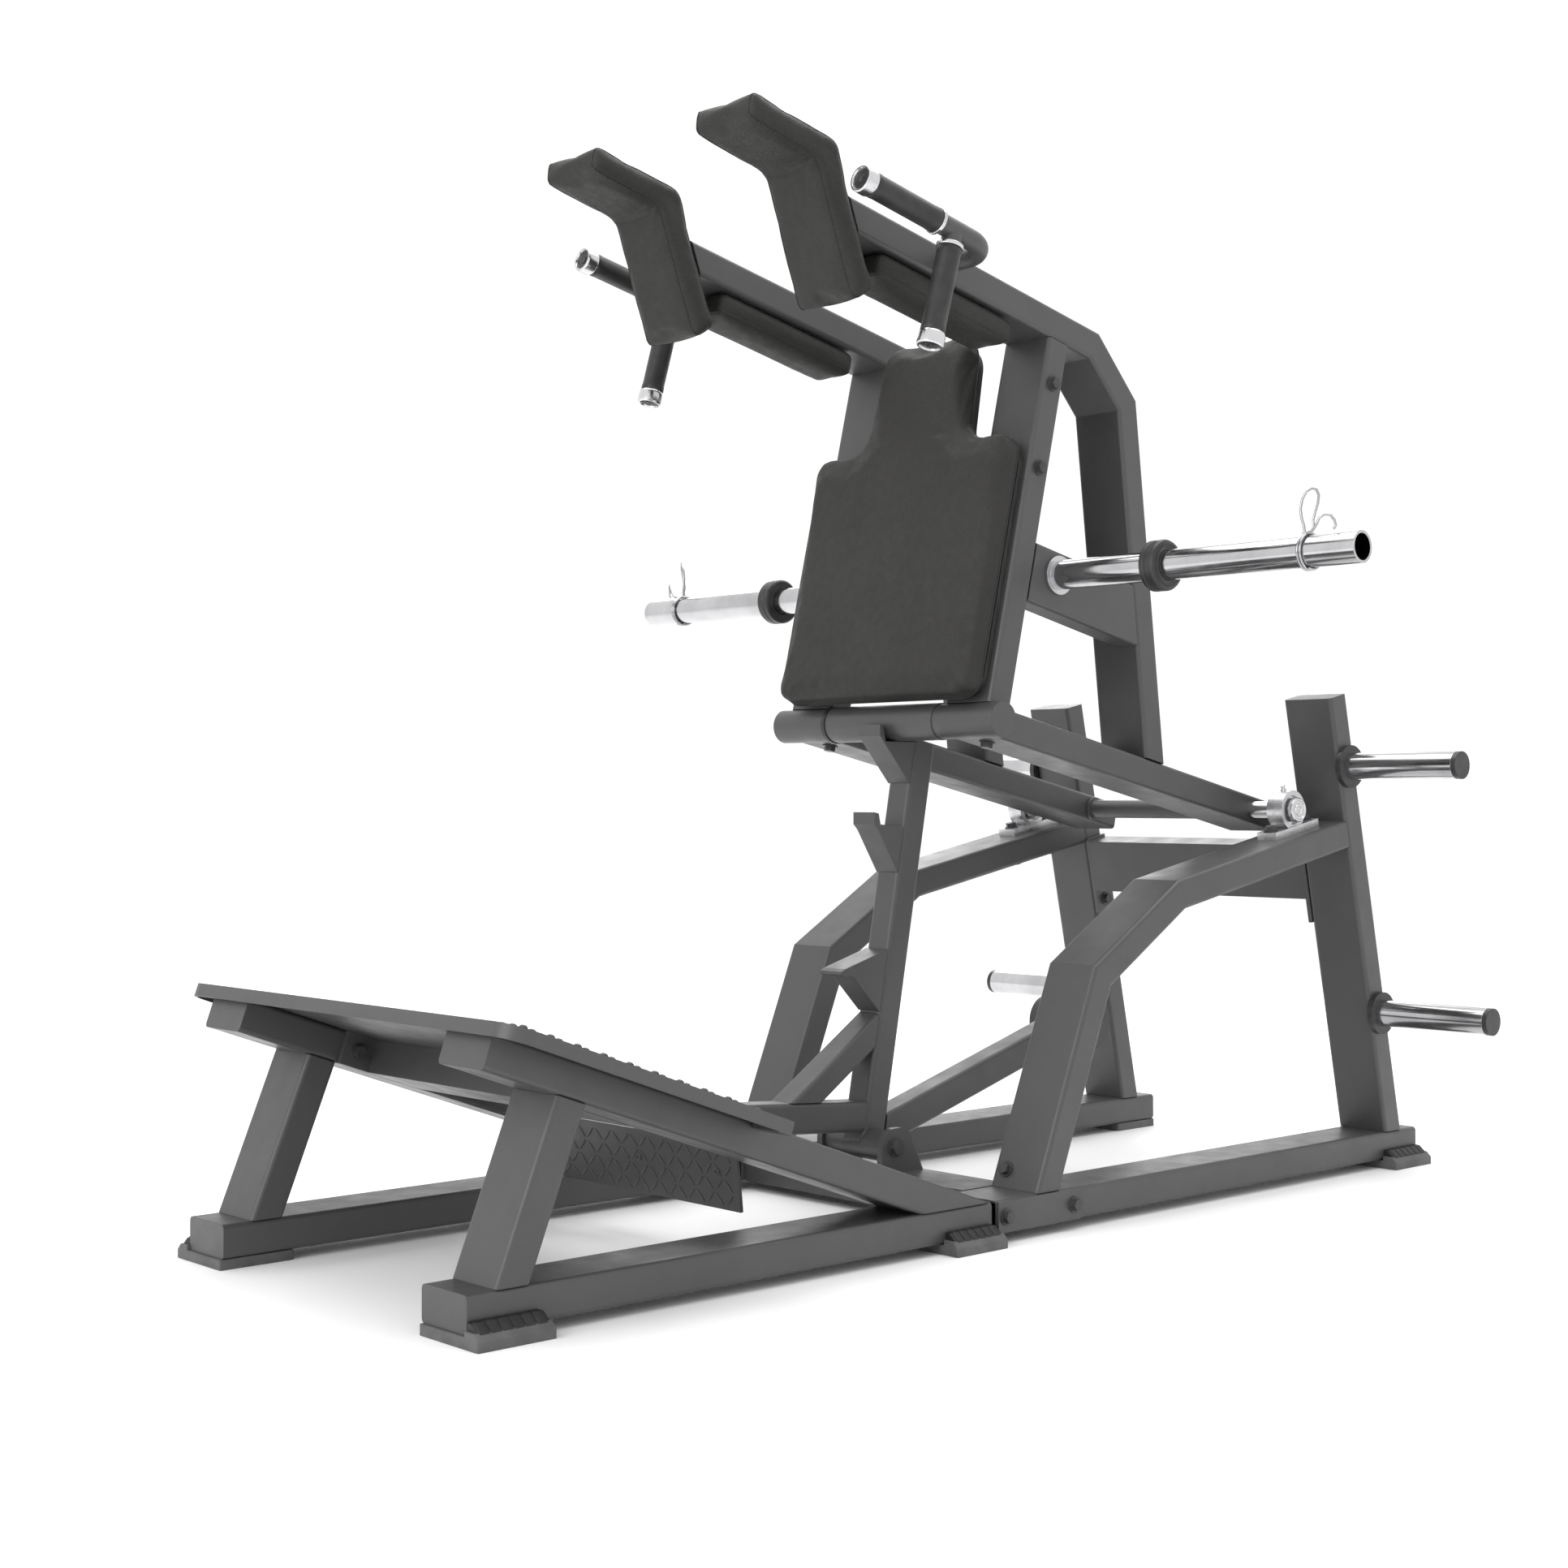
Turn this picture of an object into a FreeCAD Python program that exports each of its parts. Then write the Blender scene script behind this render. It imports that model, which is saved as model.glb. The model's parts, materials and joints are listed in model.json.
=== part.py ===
import FreeCAD, Part
import math
import os

# Hack squat machine: a welded floor frame with two arches, a lever carriage that turns on a rear shaft,
# and a foot-operated lock post that catches the carriage's front cross tube.
# Millimetres.  +X runs from the footplate to the rear uprights, +Z is up, and the machine is symmetric
# about y = 0.  Stations along the machine are written from the front end of the floor rails; the helper
# `along` moves them so that the origin lies on the floor in the middle of the footprint.

V = FreeCAD.Vector
doc = FreeCAD.newDocument("hack_squat_machine")

# ---------------------------------------------------------------- driving dimensions

SIZES = {
    "frame_middle": 1050.0,       # station of the origin
    "tube_wide": 100.0,           # every frame tube is 100 x 50
    "tube_deep": 50.0,
    "tube_wall": 3.5,
    "tube_corner": 7.0,
    "floor_gap": 15.0,            # underside of the rails above the floor
    "rail_centre": 306.0,         # half the distance between the floor rails
    "arm_centre": 185.0,          # half the distance between the carriage frames
    "flange_thick": 8.0,
    "joint_plate_thick": 4.0,
    "bearing_bore": 26.0,
    "shaft_radius": 15.0,
    "shaft_length": 664.0,
    "shaft_clearance": 0.05,
    "shaft_tube_radius": 17.0,
    "cross_tube_radius": 29.0,
    "cross_tube_length": 514.0,
    "cross_tube_wall": 5.0,
    "sleeve_radius": 30.5,
    "sleeve_length": 250.0,
    "horn_radius": 24.0,
    "horn_wall": 4.0,
    "horn_length": 581.0,
    "horn_stop_radius": 39.0,
    "horn_stop_thick": 22.0,
    "horn_stop_start": 203.0,
    "peg_length": 230.0,
    "peg_flange_radius": 38.0,
    "peg_flange_thick": 10.0,
    "peg_cap_thick": 9.0,
    "clip_inner": 24.3,
    "clip_outer": 29.0,
    "clip_wide": 14.0,
    "handle_radius": 16.0,
    "handle_wall": 3.0,
    "handle_reach": 333.0,
    "handle_straight": 232.0,
    "handle_bend": 52.0,
    "handle_stub_radius": 15.6,
    "handle_stub_length": 186.0,
    "grip_radius": 19.0,
    "grip_length": 138.0,
    "grip_cap_radius": 21.0,
    "grip_cap_length": 18.0,
    "grip_ring_length": 6.0,
    "back_pad_thick": 46.0,
    "back_board_thick": 10.0,
    "front_pad_wide": 130.0,
    "shoulder_pad_thick": 46.0,
    "ear_thick": 12.0,
    "lock_tube_radius": 24.0,
    "lock_tube_length": 128.0,
    "lock_bolt_radius": 10.0,
    "lock_bolt_length": 172.0,
    "weight_radius": 44.0,
    "weight_length": 114.0,
    "footplate_wide": 830.0,
    "footplate_run": 492.0,
    "footplate_thick": 10.0,
    "footplate_lip": 19.0,
    "footplate_corner": 40.0,
    "pedal_wide": 454.0,
    "pedal_tall": 97.0,
    "pedal_thick": 5.0,
    "bolt_head_radius": 10.0,
    "bolt_head_thick": 8.0,
    "washer_radius": 13.0,
    "washer_thick": 2.0,
}

sheet = doc.addObject("Spreadsheet::Sheet", "Dims")
for row, (alias, value) in enumerate(SIZES.items(), start=1):
    sheet.set("A%d" % row, alias)
    sheet.set("B%d" % row, str(value))
    sheet.setAlias("B%d" % row, alias)
doc.recompute()

RAIL_Y = SIZES["rail_centre"]
ARM_Y = SIZES["arm_centre"]
WIDE = SIZES["tube_wide"]
DEEP = SIZES["tube_deep"]
RAIL_TOP = SIZES["floor_gap"] + DEEP
RAIL_MID = SIZES["floor_gap"] + DEEP / 2
RAIL_INNER = RAIL_Y - WIDE / 2
RAIL_OUTER = RAIL_Y + WIDE / 2
ARM_INNER = ARM_Y - WIDE / 2
ARM_OUTER = ARM_Y + WIDE / 2
EAR_Y = SIZES["lock_tube_length"] / 2 + 1.0 + SIZES["ear_thick"] / 2

# Stations (x, z) of the joints and of the tubes' centre lines.
PIVOT = (1768.0, 652.0)
CROSS_TUBE = (1083.0, 798.0)
LOCK_PIVOT = (1020.0, 108.0)
SUPPORT_FRONT = (31.0, 362.0)
SUPPORT_REAR = (869.8, RAIL_TOP)
LEG_PATH = [(70.0, RAIL_TOP), (160.5, 289.6)]
UPRIGHT_FOOT = (2028.0, RAIL_TOP)
UPRIGHT_HEAD = (1857.0, 855.0)
ARCH_KNEES = [(1077.0, RAIL_TOP), (1210.0, 391.0), (1412.0, 514.0)]
ARCH_AIM = (1885.5, 607.7)
LEVER_REAR = (1835.0, 637.72)
BEAM_FRONT = (776.5, 1552.0)
BEAM_KNEE = (1335.0, 1429.0)
LEG_KNEE = (1421.0, 1339.0)
LEG_FOOT = (1493.0, 737.0)
ARM_FOOT = (1100.0, 822.2)
ARM_AIM = (1244.0, 1423.5)
BRACE_AIM = [(1177.8, 1040.5), (1438.1, 984.0)]
HORN = (1237.0, 1038.0)
POST_FOOT = (1025.0, 130.0)
POST_HEAD = (1144.0, 767.0)
COUNTERWEIGHT = (1540.0, 270.0)

made = []


# ---------------------------------------------------------------- geometry helpers

def along(station, y, z):
    """A point of the machine, from its station along the floor rails."""
    return V(station - SIZES["frame_middle"], y, z)


def unit(start, end):
    """Direction from one (x, z) station to another."""
    length = math.hypot(end[0] - start[0], end[1] - start[1])
    return ((end[0] - start[0]) / length, (end[1] - start[1]) / length)


def step(point, direction, distance, rise=0.0):
    """A station moved along a direction, and `rise` to its left."""
    return (point[0] + direction[0] * distance - direction[1] * rise,
            point[1] + direction[1] * distance + direction[0] * rise)


def slope_degrees(direction):
    """Rotation about +Y that turns +X onto a direction in the XZ plane."""
    return -math.degrees(math.atan2(direction[1], direction[0]))


def crossing(point_a, direction_a, point_b, direction_b):
    """Where two lines of the XZ plane meet."""
    area = direction_a[0] * direction_b[1] - direction_a[1] * direction_b[0]
    gap = (point_b[0] - point_a[0], point_b[1] - point_a[1])
    reach = (gap[0] * direction_b[1] - gap[1] * direction_b[0]) / area
    return step(point_a, direction_a, reach)


def offset_line(path, offset, start_cut, end_cut):
    """One long edge of a mitred tube: its centre line moved sideways, ended on the two cuts."""
    runs = [unit(a, b) for a, b in zip(path, path[1:])]
    cuts = [start_cut or (-runs[0][1], runs[0][0])]
    cuts += [None] * (len(path) - 2)
    cuts += [end_cut or (-runs[-1][1], runs[-1][0])]
    points = []
    for index, point in enumerate(path):
        run = runs[min(index, len(runs) - 1)]
        if cuts[index]:
            points.append(crossing(step(point, run, 0.0, offset), run, point, cuts[index]))
        else:
            before = step(point, runs[index - 1], 0.0, offset)
            points.append(crossing(before, runs[index - 1], step(point, run, 0.0, offset), run))
    return points


def tube_outline(path, deep, start_cut=None, end_cut=None):
    """Closed side view of a tube with mitred knees."""
    left = offset_line(path, deep / 2, start_cut, end_cut)
    right = offset_line(path, -deep / 2, start_cut, end_cut)
    return left + right[::-1]


def bore_path(path, closed):
    """Centre line of a tube's bore: it stops one wall short of a closed end and runs out of an open one."""
    wall = SIZES["tube_wall"]
    first = unit(path[0], path[1])
    last = unit(path[-2], path[-1])
    start = step(path[0], first, wall if "start" in closed else -2 * DEEP)
    end = step(path[-1], last, -wall if "end" in closed else 2 * DEEP)
    return [start] + list(path[1:-1]) + [end]


# ---------------------------------------------------------------- object helpers

def new_body(name):
    return doc.addObject("PartDesign::Body", name)


def origin_plane(body, role):
    return next(item for item in body.Origin.OriginFeatures if item.Role == role)


def new_sketch(body, role, name):
    sketch = body.newObject("Sketcher::SketchObject", name)
    sketch.AttachmentSupport = [(origin_plane(body, role), "")]
    sketch.MapMode = "FlatFace"
    return sketch


def draw_outline(sketch, points):
    """A closed chain of straight lines."""
    corners = [V(x, z, 0) for x, z in points]
    for start, end in zip(corners, corners[1:] + corners[:1]):
        sketch.addGeometry(Part.LineSegment(start, end), False)


def draw_rounded(sketch, points, radii):
    """A closed outline whose corners are arcs; a radius of 0 keeps the corner sharp."""
    count = len(points)
    ends = []
    for index, (x, z) in enumerate(points):
        corner = V(x, z, 0)
        back = V(*points[index - 1], 0) - corner
        ahead = V(*points[(index + 1) % count], 0) - corner
        back.normalize()
        ahead.normalize()
        radius = radii[index]
        if radius == 0:
            ends.append((corner, corner))
            continue
        half = back.getAngle(ahead) / 2
        reach = radius / math.tan(half)
        middle = back + ahead
        middle.normalize()
        top = corner + middle * (radius / math.sin(half) - radius)
        ends.append((corner + back * reach, corner + ahead * reach))
        sketch.addGeometry(Part.Arc(ends[-1][0], top, ends[-1][1]), False)
    for index in range(count):
        sketch.addGeometry(Part.LineSegment(ends[index][1], ends[(index + 1) % count][0]), False)


def centre_outline(points):
    """Stations turned into the machine's own X."""
    return [(x - SIZES["frame_middle"], z) for x, z in points]


def add_pad(body, sketch, length):
    pad = body.newObject("PartDesign::Pad", "Pad")
    pad.Profile = sketch
    pad.SideType = "Symmetric"
    pad.setExpression("Length", length)
    return pad


def add_pocket(body, sketch, length):
    pocket = body.newObject("PartDesign::Pocket", "Pocket")
    pocket.Profile = sketch
    pocket.SideType = "Symmetric"
    pocket.setExpression("Length", length)
    return pocket


def long_edges(shape, end_faces):
    """Edges on the two flat sides of a prism that do not border its cut ends."""
    side = shape.BoundBox.YMax
    names = []
    for index, edge in enumerate(shape.Edges, start=1):
        middle = edge.valueAt((edge.FirstParameter + edge.LastParameter) / 2)
        on_side = abs(abs(middle.y) - side) < 0.01 and edge.BoundBox.YLength < 0.01
        at_end = any(middle.distanceToPoint(V(x, middle.y, z)) < 0.5 for x, z in end_faces)
        if on_side and not at_end:
            names.append("Edge%d" % index)
    return names


def keep(part, name, y=0.0):
    """Name a finished sub-part and put it at its distance from the middle plane."""
    part.Label = name
    if y:
        part.Placement = FreeCAD.Placement(V(0, y, 0), part.Placement.Rotation)
    made.append(part)
    return part


def tube(name, path, y, closed=(), cuts=(None, None), wide="tube_wide", deep=None, notches=()):
    """A hollow rectangular tube that follows a centre line in the XZ plane."""
    deep = deep or DEEP
    body = new_body(name)
    outline = centre_outline(tube_outline(path, deep, *cuts))
    outer = new_sketch(body, "XZ_Plane", name + "_outer")
    draw_outline(outer, outline)
    pad = add_pad(body, outer, "Dims.%s" % wide)
    doc.recompute()
    count = len(path)
    ends = [((outline[0][0] + outline[-1][0]) / 2, (outline[0][1] + outline[-1][1]) / 2),
            ((outline[count - 1][0] + outline[count][0]) / 2,
             (outline[count - 1][1] + outline[count][1]) / 2)]
    fillet = body.newObject("PartDesign::Fillet", "Corners")
    fillet.Base = (pad, long_edges(pad.Shape, ends))
    fillet.setExpression("Radius", "Dims.tube_corner")
    wall = SIZES["tube_wall"]
    bore = new_sketch(body, "XZ_Plane", name + "_bore")
    draw_outline(bore, centre_outline(tube_outline(bore_path(path, closed), deep - 2 * wall)))
    add_pocket(body, bore, "Dims.%s - 2 * Dims.tube_wall" % wide)
    for index, (centre, radius) in enumerate(notches):
        notch = new_sketch(body, "XZ_Plane", "%s_notch%d" % (name, index))
        middle = centre_outline([centre])[0]
        notch.addGeometry(Part.Circle(V(middle[0], middle[1], 0), V(0, 0, 1), radius), False)
        add_pocket(body, notch, "3 * Dims.tube_wide")
    doc.recompute()
    return keep(body, name, y)


def welded_tube(name, path, y, **options):
    """A tube that is only part of a welded piece, so it has no file of its own."""
    body = tube(name + "_tube", path, y, **options)
    made.remove(body)
    return body


def tube_pair(name, path, y, **options):
    """The same tube on the left (-Y) and right (+Y) side."""
    tube(name + "_left", path, -y, **options)
    tube(name + "_right", path, y, **options)


def prism(name, outline, wide, y=0.0, radii=None):
    """A solid plate or block: a side view in the XZ plane given a width."""
    body = new_body(name)
    sketch = new_sketch(body, "XZ_Plane", name + "_side")
    points = centre_outline(outline)
    draw_rounded(sketch, points, radii or [0] * len(points))
    add_pad(body, sketch, wide)
    if y:
        body.Placement = FreeCAD.Placement(V(0, y, 0), FreeCAD.Rotation())
    return body


def cylinder(name, radius, length, base, axis):
    """A Part cylinder from its base point along an axis."""
    shape = doc.addObject("Part::Cylinder", name)
    shape.setExpression("Radius", radius)
    shape.setExpression("Height", length)
    shape.Placement = FreeCAD.Placement(base, FreeCAD.Rotation(V(0, 0, 1), axis))
    return shape


def box(name, length, width, height, corner, degrees=0.0):
    """A Part box from its lowest corner, turned about Y at that corner."""
    shape = doc.addObject("Part::Box", name)
    shape.setExpression("Length", length)
    shape.setExpression("Width", width)
    shape.setExpression("Height", height)
    shape.Placement = FreeCAD.Placement(corner, FreeCAD.Rotation(V(0, 1, 0), degrees))
    return shape


def fuse(name, shapes):
    result = doc.addObject("Part::MultiFuse", name)
    result.Shapes = shapes
    return result


def cut(name, base, tool):
    result = doc.addObject("Part::Cut", name)
    result.Base = base
    result.Tool = tool
    return result


def group(name, shapes):
    """Identical small pieces that share one node as separate solids."""
    result = doc.addObject("Part::Compound", name)
    result.Links = shapes
    return keep(result, name)


def ring(name, outer, inner, length, base, axis):
    """A round sleeve."""
    return cut(name, cylinder(name + "_outer", outer, length, base, axis),
               cylinder(name + "_inner", inner, length, base, axis))


def hex_bolt(name, point, axis):
    """A hexagon head on its washer, standing on a surface."""
    washer = cylinder(name + "_washer", "Dims.washer_radius", "Dims.washer_thick", point, axis)
    head = doc.addObject("Part::Prism", name + "_head")
    head.Polygon = 6
    head.setExpression("Circumradius", "Dims.bolt_head_radius")
    head.setExpression("Height", "Dims.bolt_head_thick")
    lift = V(axis)
    lift.normalize()
    head.Placement = FreeCAD.Placement(point + lift * SIZES["washer_thick"],
                                       FreeCAD.Rotation(V(0, 0, 1), axis))
    return fuse(name, [washer, head])


SIDES = (("left", -1), ("right", 1))
LEVEL = (1.0, 0.0)
LEVER_RUN = unit(LEVER_REAR, CROSS_TUBE)
UPRIGHT_RUN = unit(UPRIGHT_FOOT, UPRIGHT_HEAD)
SUPPORT_RUN = unit(SUPPORT_FRONT, SUPPORT_REAR)
SUPPORT_TILT = slope_degrees(SUPPORT_RUN)
BEAM_RUN = unit(BEAM_FRONT, BEAM_KNEE)
POST_RUN = unit(POST_FOOT, POST_HEAD)
ARCH_RUN = unit(ARCH_KNEES[-1], ARCH_AIM)
ARCH_TILT = slope_degrees(ARCH_RUN)
ARM_RUN = unit(ARM_FOOT, ARM_AIM)
LEG_RUN = unit(LEG_KNEE, LEG_FOOT)
BRACE_RUN = unit(*BRACE_AIM)

# Tubes that end on another tube's face stop exactly there.
ARCH_PATH = ARCH_KNEES + [crossing(ARCH_KNEES[-1], ARCH_RUN,
                                   step(UPRIGHT_FOOT, UPRIGHT_RUN, 0.0, DEEP / 2), UPRIGHT_RUN)]
ARM_UPRIGHT = [ARM_FOOT, crossing(ARM_FOOT, ARM_RUN, step(BEAM_FRONT, BEAM_RUN, 0.0, -DEEP / 2), BEAM_RUN)]
BRACE_PATH = [crossing(BRACE_AIM[0], BRACE_RUN, step(ARM_FOOT, ARM_RUN, 0.0, -DEEP / 2), ARM_RUN),
              crossing(BRACE_AIM[0], BRACE_RUN, step(LEG_KNEE, LEG_RUN, 0.0, -DEEP / 2), LEG_RUN)]


# ---------------------------------------------------------------- floor frame

def floor_rails():
    tube_pair("front_floor_rail", [(0.0, RAIL_MID), (946.0, RAIL_MID)], RAIL_Y, closed=("start",))
    thick = SIZES["joint_plate_thick"]
    outline = [(957.0, 16.0), (1153.0, 16.0), (1153.0, 64.0), (957.0, 64.0)]
    for side, sign in SIDES:
        name = "rear_floor_rail_" + side
        rail = welded_tube(name, [(957.0, RAIL_MID), (2100.0, RAIL_MID)], sign * RAIL_Y, closed=("end",))
        plate = prism(name + "_joint_plate", outline, "Dims.joint_plate_thick",
                      sign * (RAIL_OUTER + thick / 2), [0, 12, 12, 0])
        keep(fuse(name, [rail, plate]), name)


def rubber_feet():
    """Boots under the ends of the rails, each with a sloping step outboard of the rail."""
    feet = []
    gap = SIZES["floor_gap"]
    for side, sign in SIDES:
        for place, station, reach in (("front", -5.0, 120.0), ("middle", 840.0, 110.0),
                                      ("rear", 1990.0, 115.0)):
            name = "foot_%s_%s" % (place, side)
            body = new_body(name)
            sketch = new_sketch(body, "YZ_Plane", name + "_section")
            section = [(RAIL_INNER + 2, 0.0), (RAIL_OUTER + 30, 0.0), (RAIL_OUTER + 30, 13.0),
                       (RAIL_OUTER + 10, 34.0), (RAIL_OUTER + 0.5, 34.0), (RAIL_OUTER + 0.5, gap),
                       (RAIL_INNER + 2, gap)]
            draw_outline(sketch, [(sign * y, z) for y, z in section])
            add_pad(body, sketch, str(reach))
            body.Placement = FreeCAD.Placement(along(station + reach / 2, 0, 0), FreeCAD.Rotation())
            feet.append(body)
    group("rubber_feet", feet)


def footplate_frame():
    tube_pair("footplate_support", [SUPPORT_FRONT, SUPPORT_REAR], RAIL_Y, closed=("start",),
              cuts=(None, LEVEL))
    tube_pair("footplate_leg", LEG_PATH, RAIL_Y, cuts=(LEVEL, SUPPORT_RUN))
    span = "2 * (Dims.rail_centre - Dims.tube_wide / 2)"
    corner = step(SUPPORT_FRONT, SUPPORT_RUN, 224.0, -DEEP / 2)
    beam = box("footplate_beam", "Dims.tube_wide", span, "Dims.tube_deep",
               along(corner[0], -RAIL_INNER, corner[1]), SUPPORT_TILT)
    wall = SIZES["tube_wall"]
    bore = step(corner, SUPPORT_RUN, wall, wall)
    core = box("footplate_beam_bore", "Dims.tube_wide - 2 * Dims.tube_wall", span,
               "Dims.tube_deep - 2 * Dims.tube_wall", along(bore[0], -RAIL_INNER, bore[1]), SUPPORT_TILT)
    hollow = cut("footplate_beam_tube", beam, core)
    flanges = []
    plate_corner = step(corner, SUPPORT_RUN, -54.0)
    for side, sign in SIDES:
        y = -RAIL_INNER if sign < 0 else RAIL_INNER - SIZES["flange_thick"]
        flanges.append(box("footplate_flange_" + side, "Dims.tube_wide + 54", "Dims.flange_thick",
                           "Dims.tube_deep", along(plate_corner[0], y, plate_corner[1]), SUPPORT_TILT))
    keep(fuse("footplate_cross_beam", [hollow] + flanges), "footplate_cross_beam")


def rounded_plate(name, inset, beyond, thick, corner):
    """A plate in the footplate's plane whose two front corners are rounded."""
    half = SIZES["footplate_wide"] / 2 - inset
    end = SIZES["footplate_run"] + beyond
    radius = SIZES["footplate_corner"] - inset
    body = new_body(name)
    sketch = new_sketch(body, "XY_Plane", name + "_face")
    draw_rounded(sketch, [(inset, -half), (end, -half), (end, half), (inset, half)], [radius, 0, 0, radius])
    add_pad(body, sketch, thick)
    body.Placement = FreeCAD.Placement(along(corner[0], 0, corner[1]),
                                       FreeCAD.Rotation(V(0, 1, 0), SUPPORT_TILT))
    return body


def footplate():
    """Folded sheet on top of the supports, with a lip round three sides and a channel at the rear."""
    wide = SIZES["footplate_wide"]
    lip = SIZES["footplate_lip"]
    thick = SIZES["footplate_thick"]
    run = SIZES["footplate_run"]
    front = step(SUPPORT_FRONT, SUPPORT_RUN, -17.0, DEEP / 2)

    def plate_box(name, length, width, height, run_from, y, rise):
        corner = step(front, SUPPORT_RUN, run_from, rise)
        return box(name, length, width, height, along(corner[0], y, corner[1]), SUPPORT_TILT)

    sheet_middle = step(front, SUPPORT_RUN, 0.0, thick / 2)
    lip_middle = step(front, SUPPORT_RUN, 0.0, thick - lip / 2)
    rim = cut("footplate_rim", rounded_plate("rim_outer", 0.0, 0.0, "Dims.footplate_lip", lip_middle),
              rounded_plate("rim_inner", 4.0, 60.0, "Dims.footplate_lip + 2", lip_middle))
    pieces = [rounded_plate("tread_sheet", 0.0, 0.0, "Dims.footplate_thick", sheet_middle), rim]
    stretches = (("left", -wide / 2, wide / 2 - RAIL_OUTER - 4),
                 ("middle", -RAIL_INNER + 4, 2 * RAIL_INNER - 8),
                 ("right", RAIL_OUTER + 4, wide / 2 - RAIL_OUTER - 4))
    for place, y, length in stretches:
        for part, depth, height, run_from, rise in (("web", 3, 20, run - 24.0, thick - 20),
                                                    ("sill", 24, 3, run - 24.0, thick - 20),
                                                    ("edge", 3, 20, run - 3.0, thick - 20)):
            pieces.append(plate_box("channel_%s_%s" % (part, place), str(depth), str(length), str(height),
                                    run_from, y, rise))
    keep(fuse("footplate", pieces), "footplate")


def floor_cross_beam():
    span = "2 * (Dims.rail_centre - Dims.tube_wide / 2)"
    wall = SIZES["tube_wall"]
    start = 990.0
    outer = box("cross_beam_outer", "Dims.tube_wide", span, "Dims.tube_deep",
                along(start, -RAIL_INNER, SIZES["floor_gap"]))
    core = box("cross_beam_bore", "Dims.tube_wide - 2 * Dims.tube_wall", span,
               "Dims.tube_deep - 2 * Dims.tube_wall", along(start + wall, -RAIL_INNER,
                                                            SIZES["floor_gap"] + wall))
    beam = cut("base_cross_tube", outer, core)
    keep(fuse("base_cross_beam", [beam, lock_ears()]), "base_cross_beam")


def arches_and_uprights():
    tube_pair("arch", ARCH_PATH, RAIL_Y, cuts=(LEVEL, UPRIGHT_RUN))
    tube_pair("rear_upright", [UPRIGHT_FOOT, UPRIGHT_HEAD], RAIL_Y, closed=("end",), cuts=(LEVEL, None))
    span = "2 * (Dims.rail_centre - Dims.tube_wide / 2)"
    tilt = slope_degrees((-UPRIGHT_RUN[1], UPRIGHT_RUN[0])) + 180.0
    wall = SIZES["tube_wall"]

    def upright_box(name, deep, width, tall, foot, y, back):
        corner = step(UPRIGHT_FOOT, UPRIGHT_RUN, foot, back)
        return box(name, deep, width, tall, along(corner[0], y, corner[1]), tilt)

    foot = 438.0
    outer = upright_box("rear_beam_outer", "Dims.tube_deep", span, "Dims.tube_wide", foot, -RAIL_INNER,
                        DEEP / 2)
    core = upright_box("rear_beam_bore", "Dims.tube_deep - 2 * Dims.tube_wall", span,
                       "Dims.tube_wide - 2 * Dims.tube_wall", foot + wall, -RAIL_INNER, DEEP / 2 - wall)
    pieces = [cut("rear_beam_tube", outer, core)]
    for side, sign in SIDES:
        y = -RAIL_INNER if sign < 0 else RAIL_INNER - SIZES["flange_thick"]
        pieces.append(upright_box("rear_flange_" + side, "Dims.tube_deep", "Dims.flange_thick",
                                  "Dims.tube_wide + 50",
                                  foot - 44.0, y, DEEP / 2))
    keep(fuse("rear_cross_beam", pieces), "rear_cross_beam")


def storage_pegs():
    """Four plate storage pegs on the outsides of the rear uprights."""
    flanges = []
    for side, sign in SIDES:
        axis = V(0, sign, 0)
        pegs = []
        for level, distance in (("lower", 223.0), ("upper", 680.0)):
            station = step(UPRIGHT_FOOT, UPRIGHT_RUN, distance)
            base = along(station[0], sign * RAIL_OUTER, station[1])
            name = "storage_peg_%s_%s" % (level, side)
            start = base + axis * SIZES["peg_flange_thick"]
            length = "Dims.peg_length - Dims.peg_flange_thick - Dims.peg_cap_thick"
            pegs.append(ring(name, "Dims.horn_radius", "Dims.horn_radius - Dims.horn_wall", length, start,
                             axis))
            flanges.append(cylinder(name + "_flange", "Dims.peg_flange_radius", "Dims.peg_flange_thick",
                                    base, axis))
            end = base + axis * (SIZES["peg_length"] - SIZES["peg_cap_thick"])
            flanges.append(cylinder(name + "_cap", "Dims.horn_radius", "Dims.peg_cap_thick", end, axis))
        group("storage_pegs_" + side, pegs)
    group("peg_flanges_and_caps", flanges)


# ---------------------------------------------------------------- pivot

def arch_top(distance, rise=0.0):
    """A station above the arch's upper face, `distance` from below the pivot along the arch."""
    foot = crossing(step(ARCH_KNEES[-1], ARCH_RUN, 0.0, DEEP / 2), ARCH_RUN, PIVOT,
                    (-ARCH_RUN[1], ARCH_RUN[0]))
    return step(foot, ARCH_RUN, distance, rise)


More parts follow.
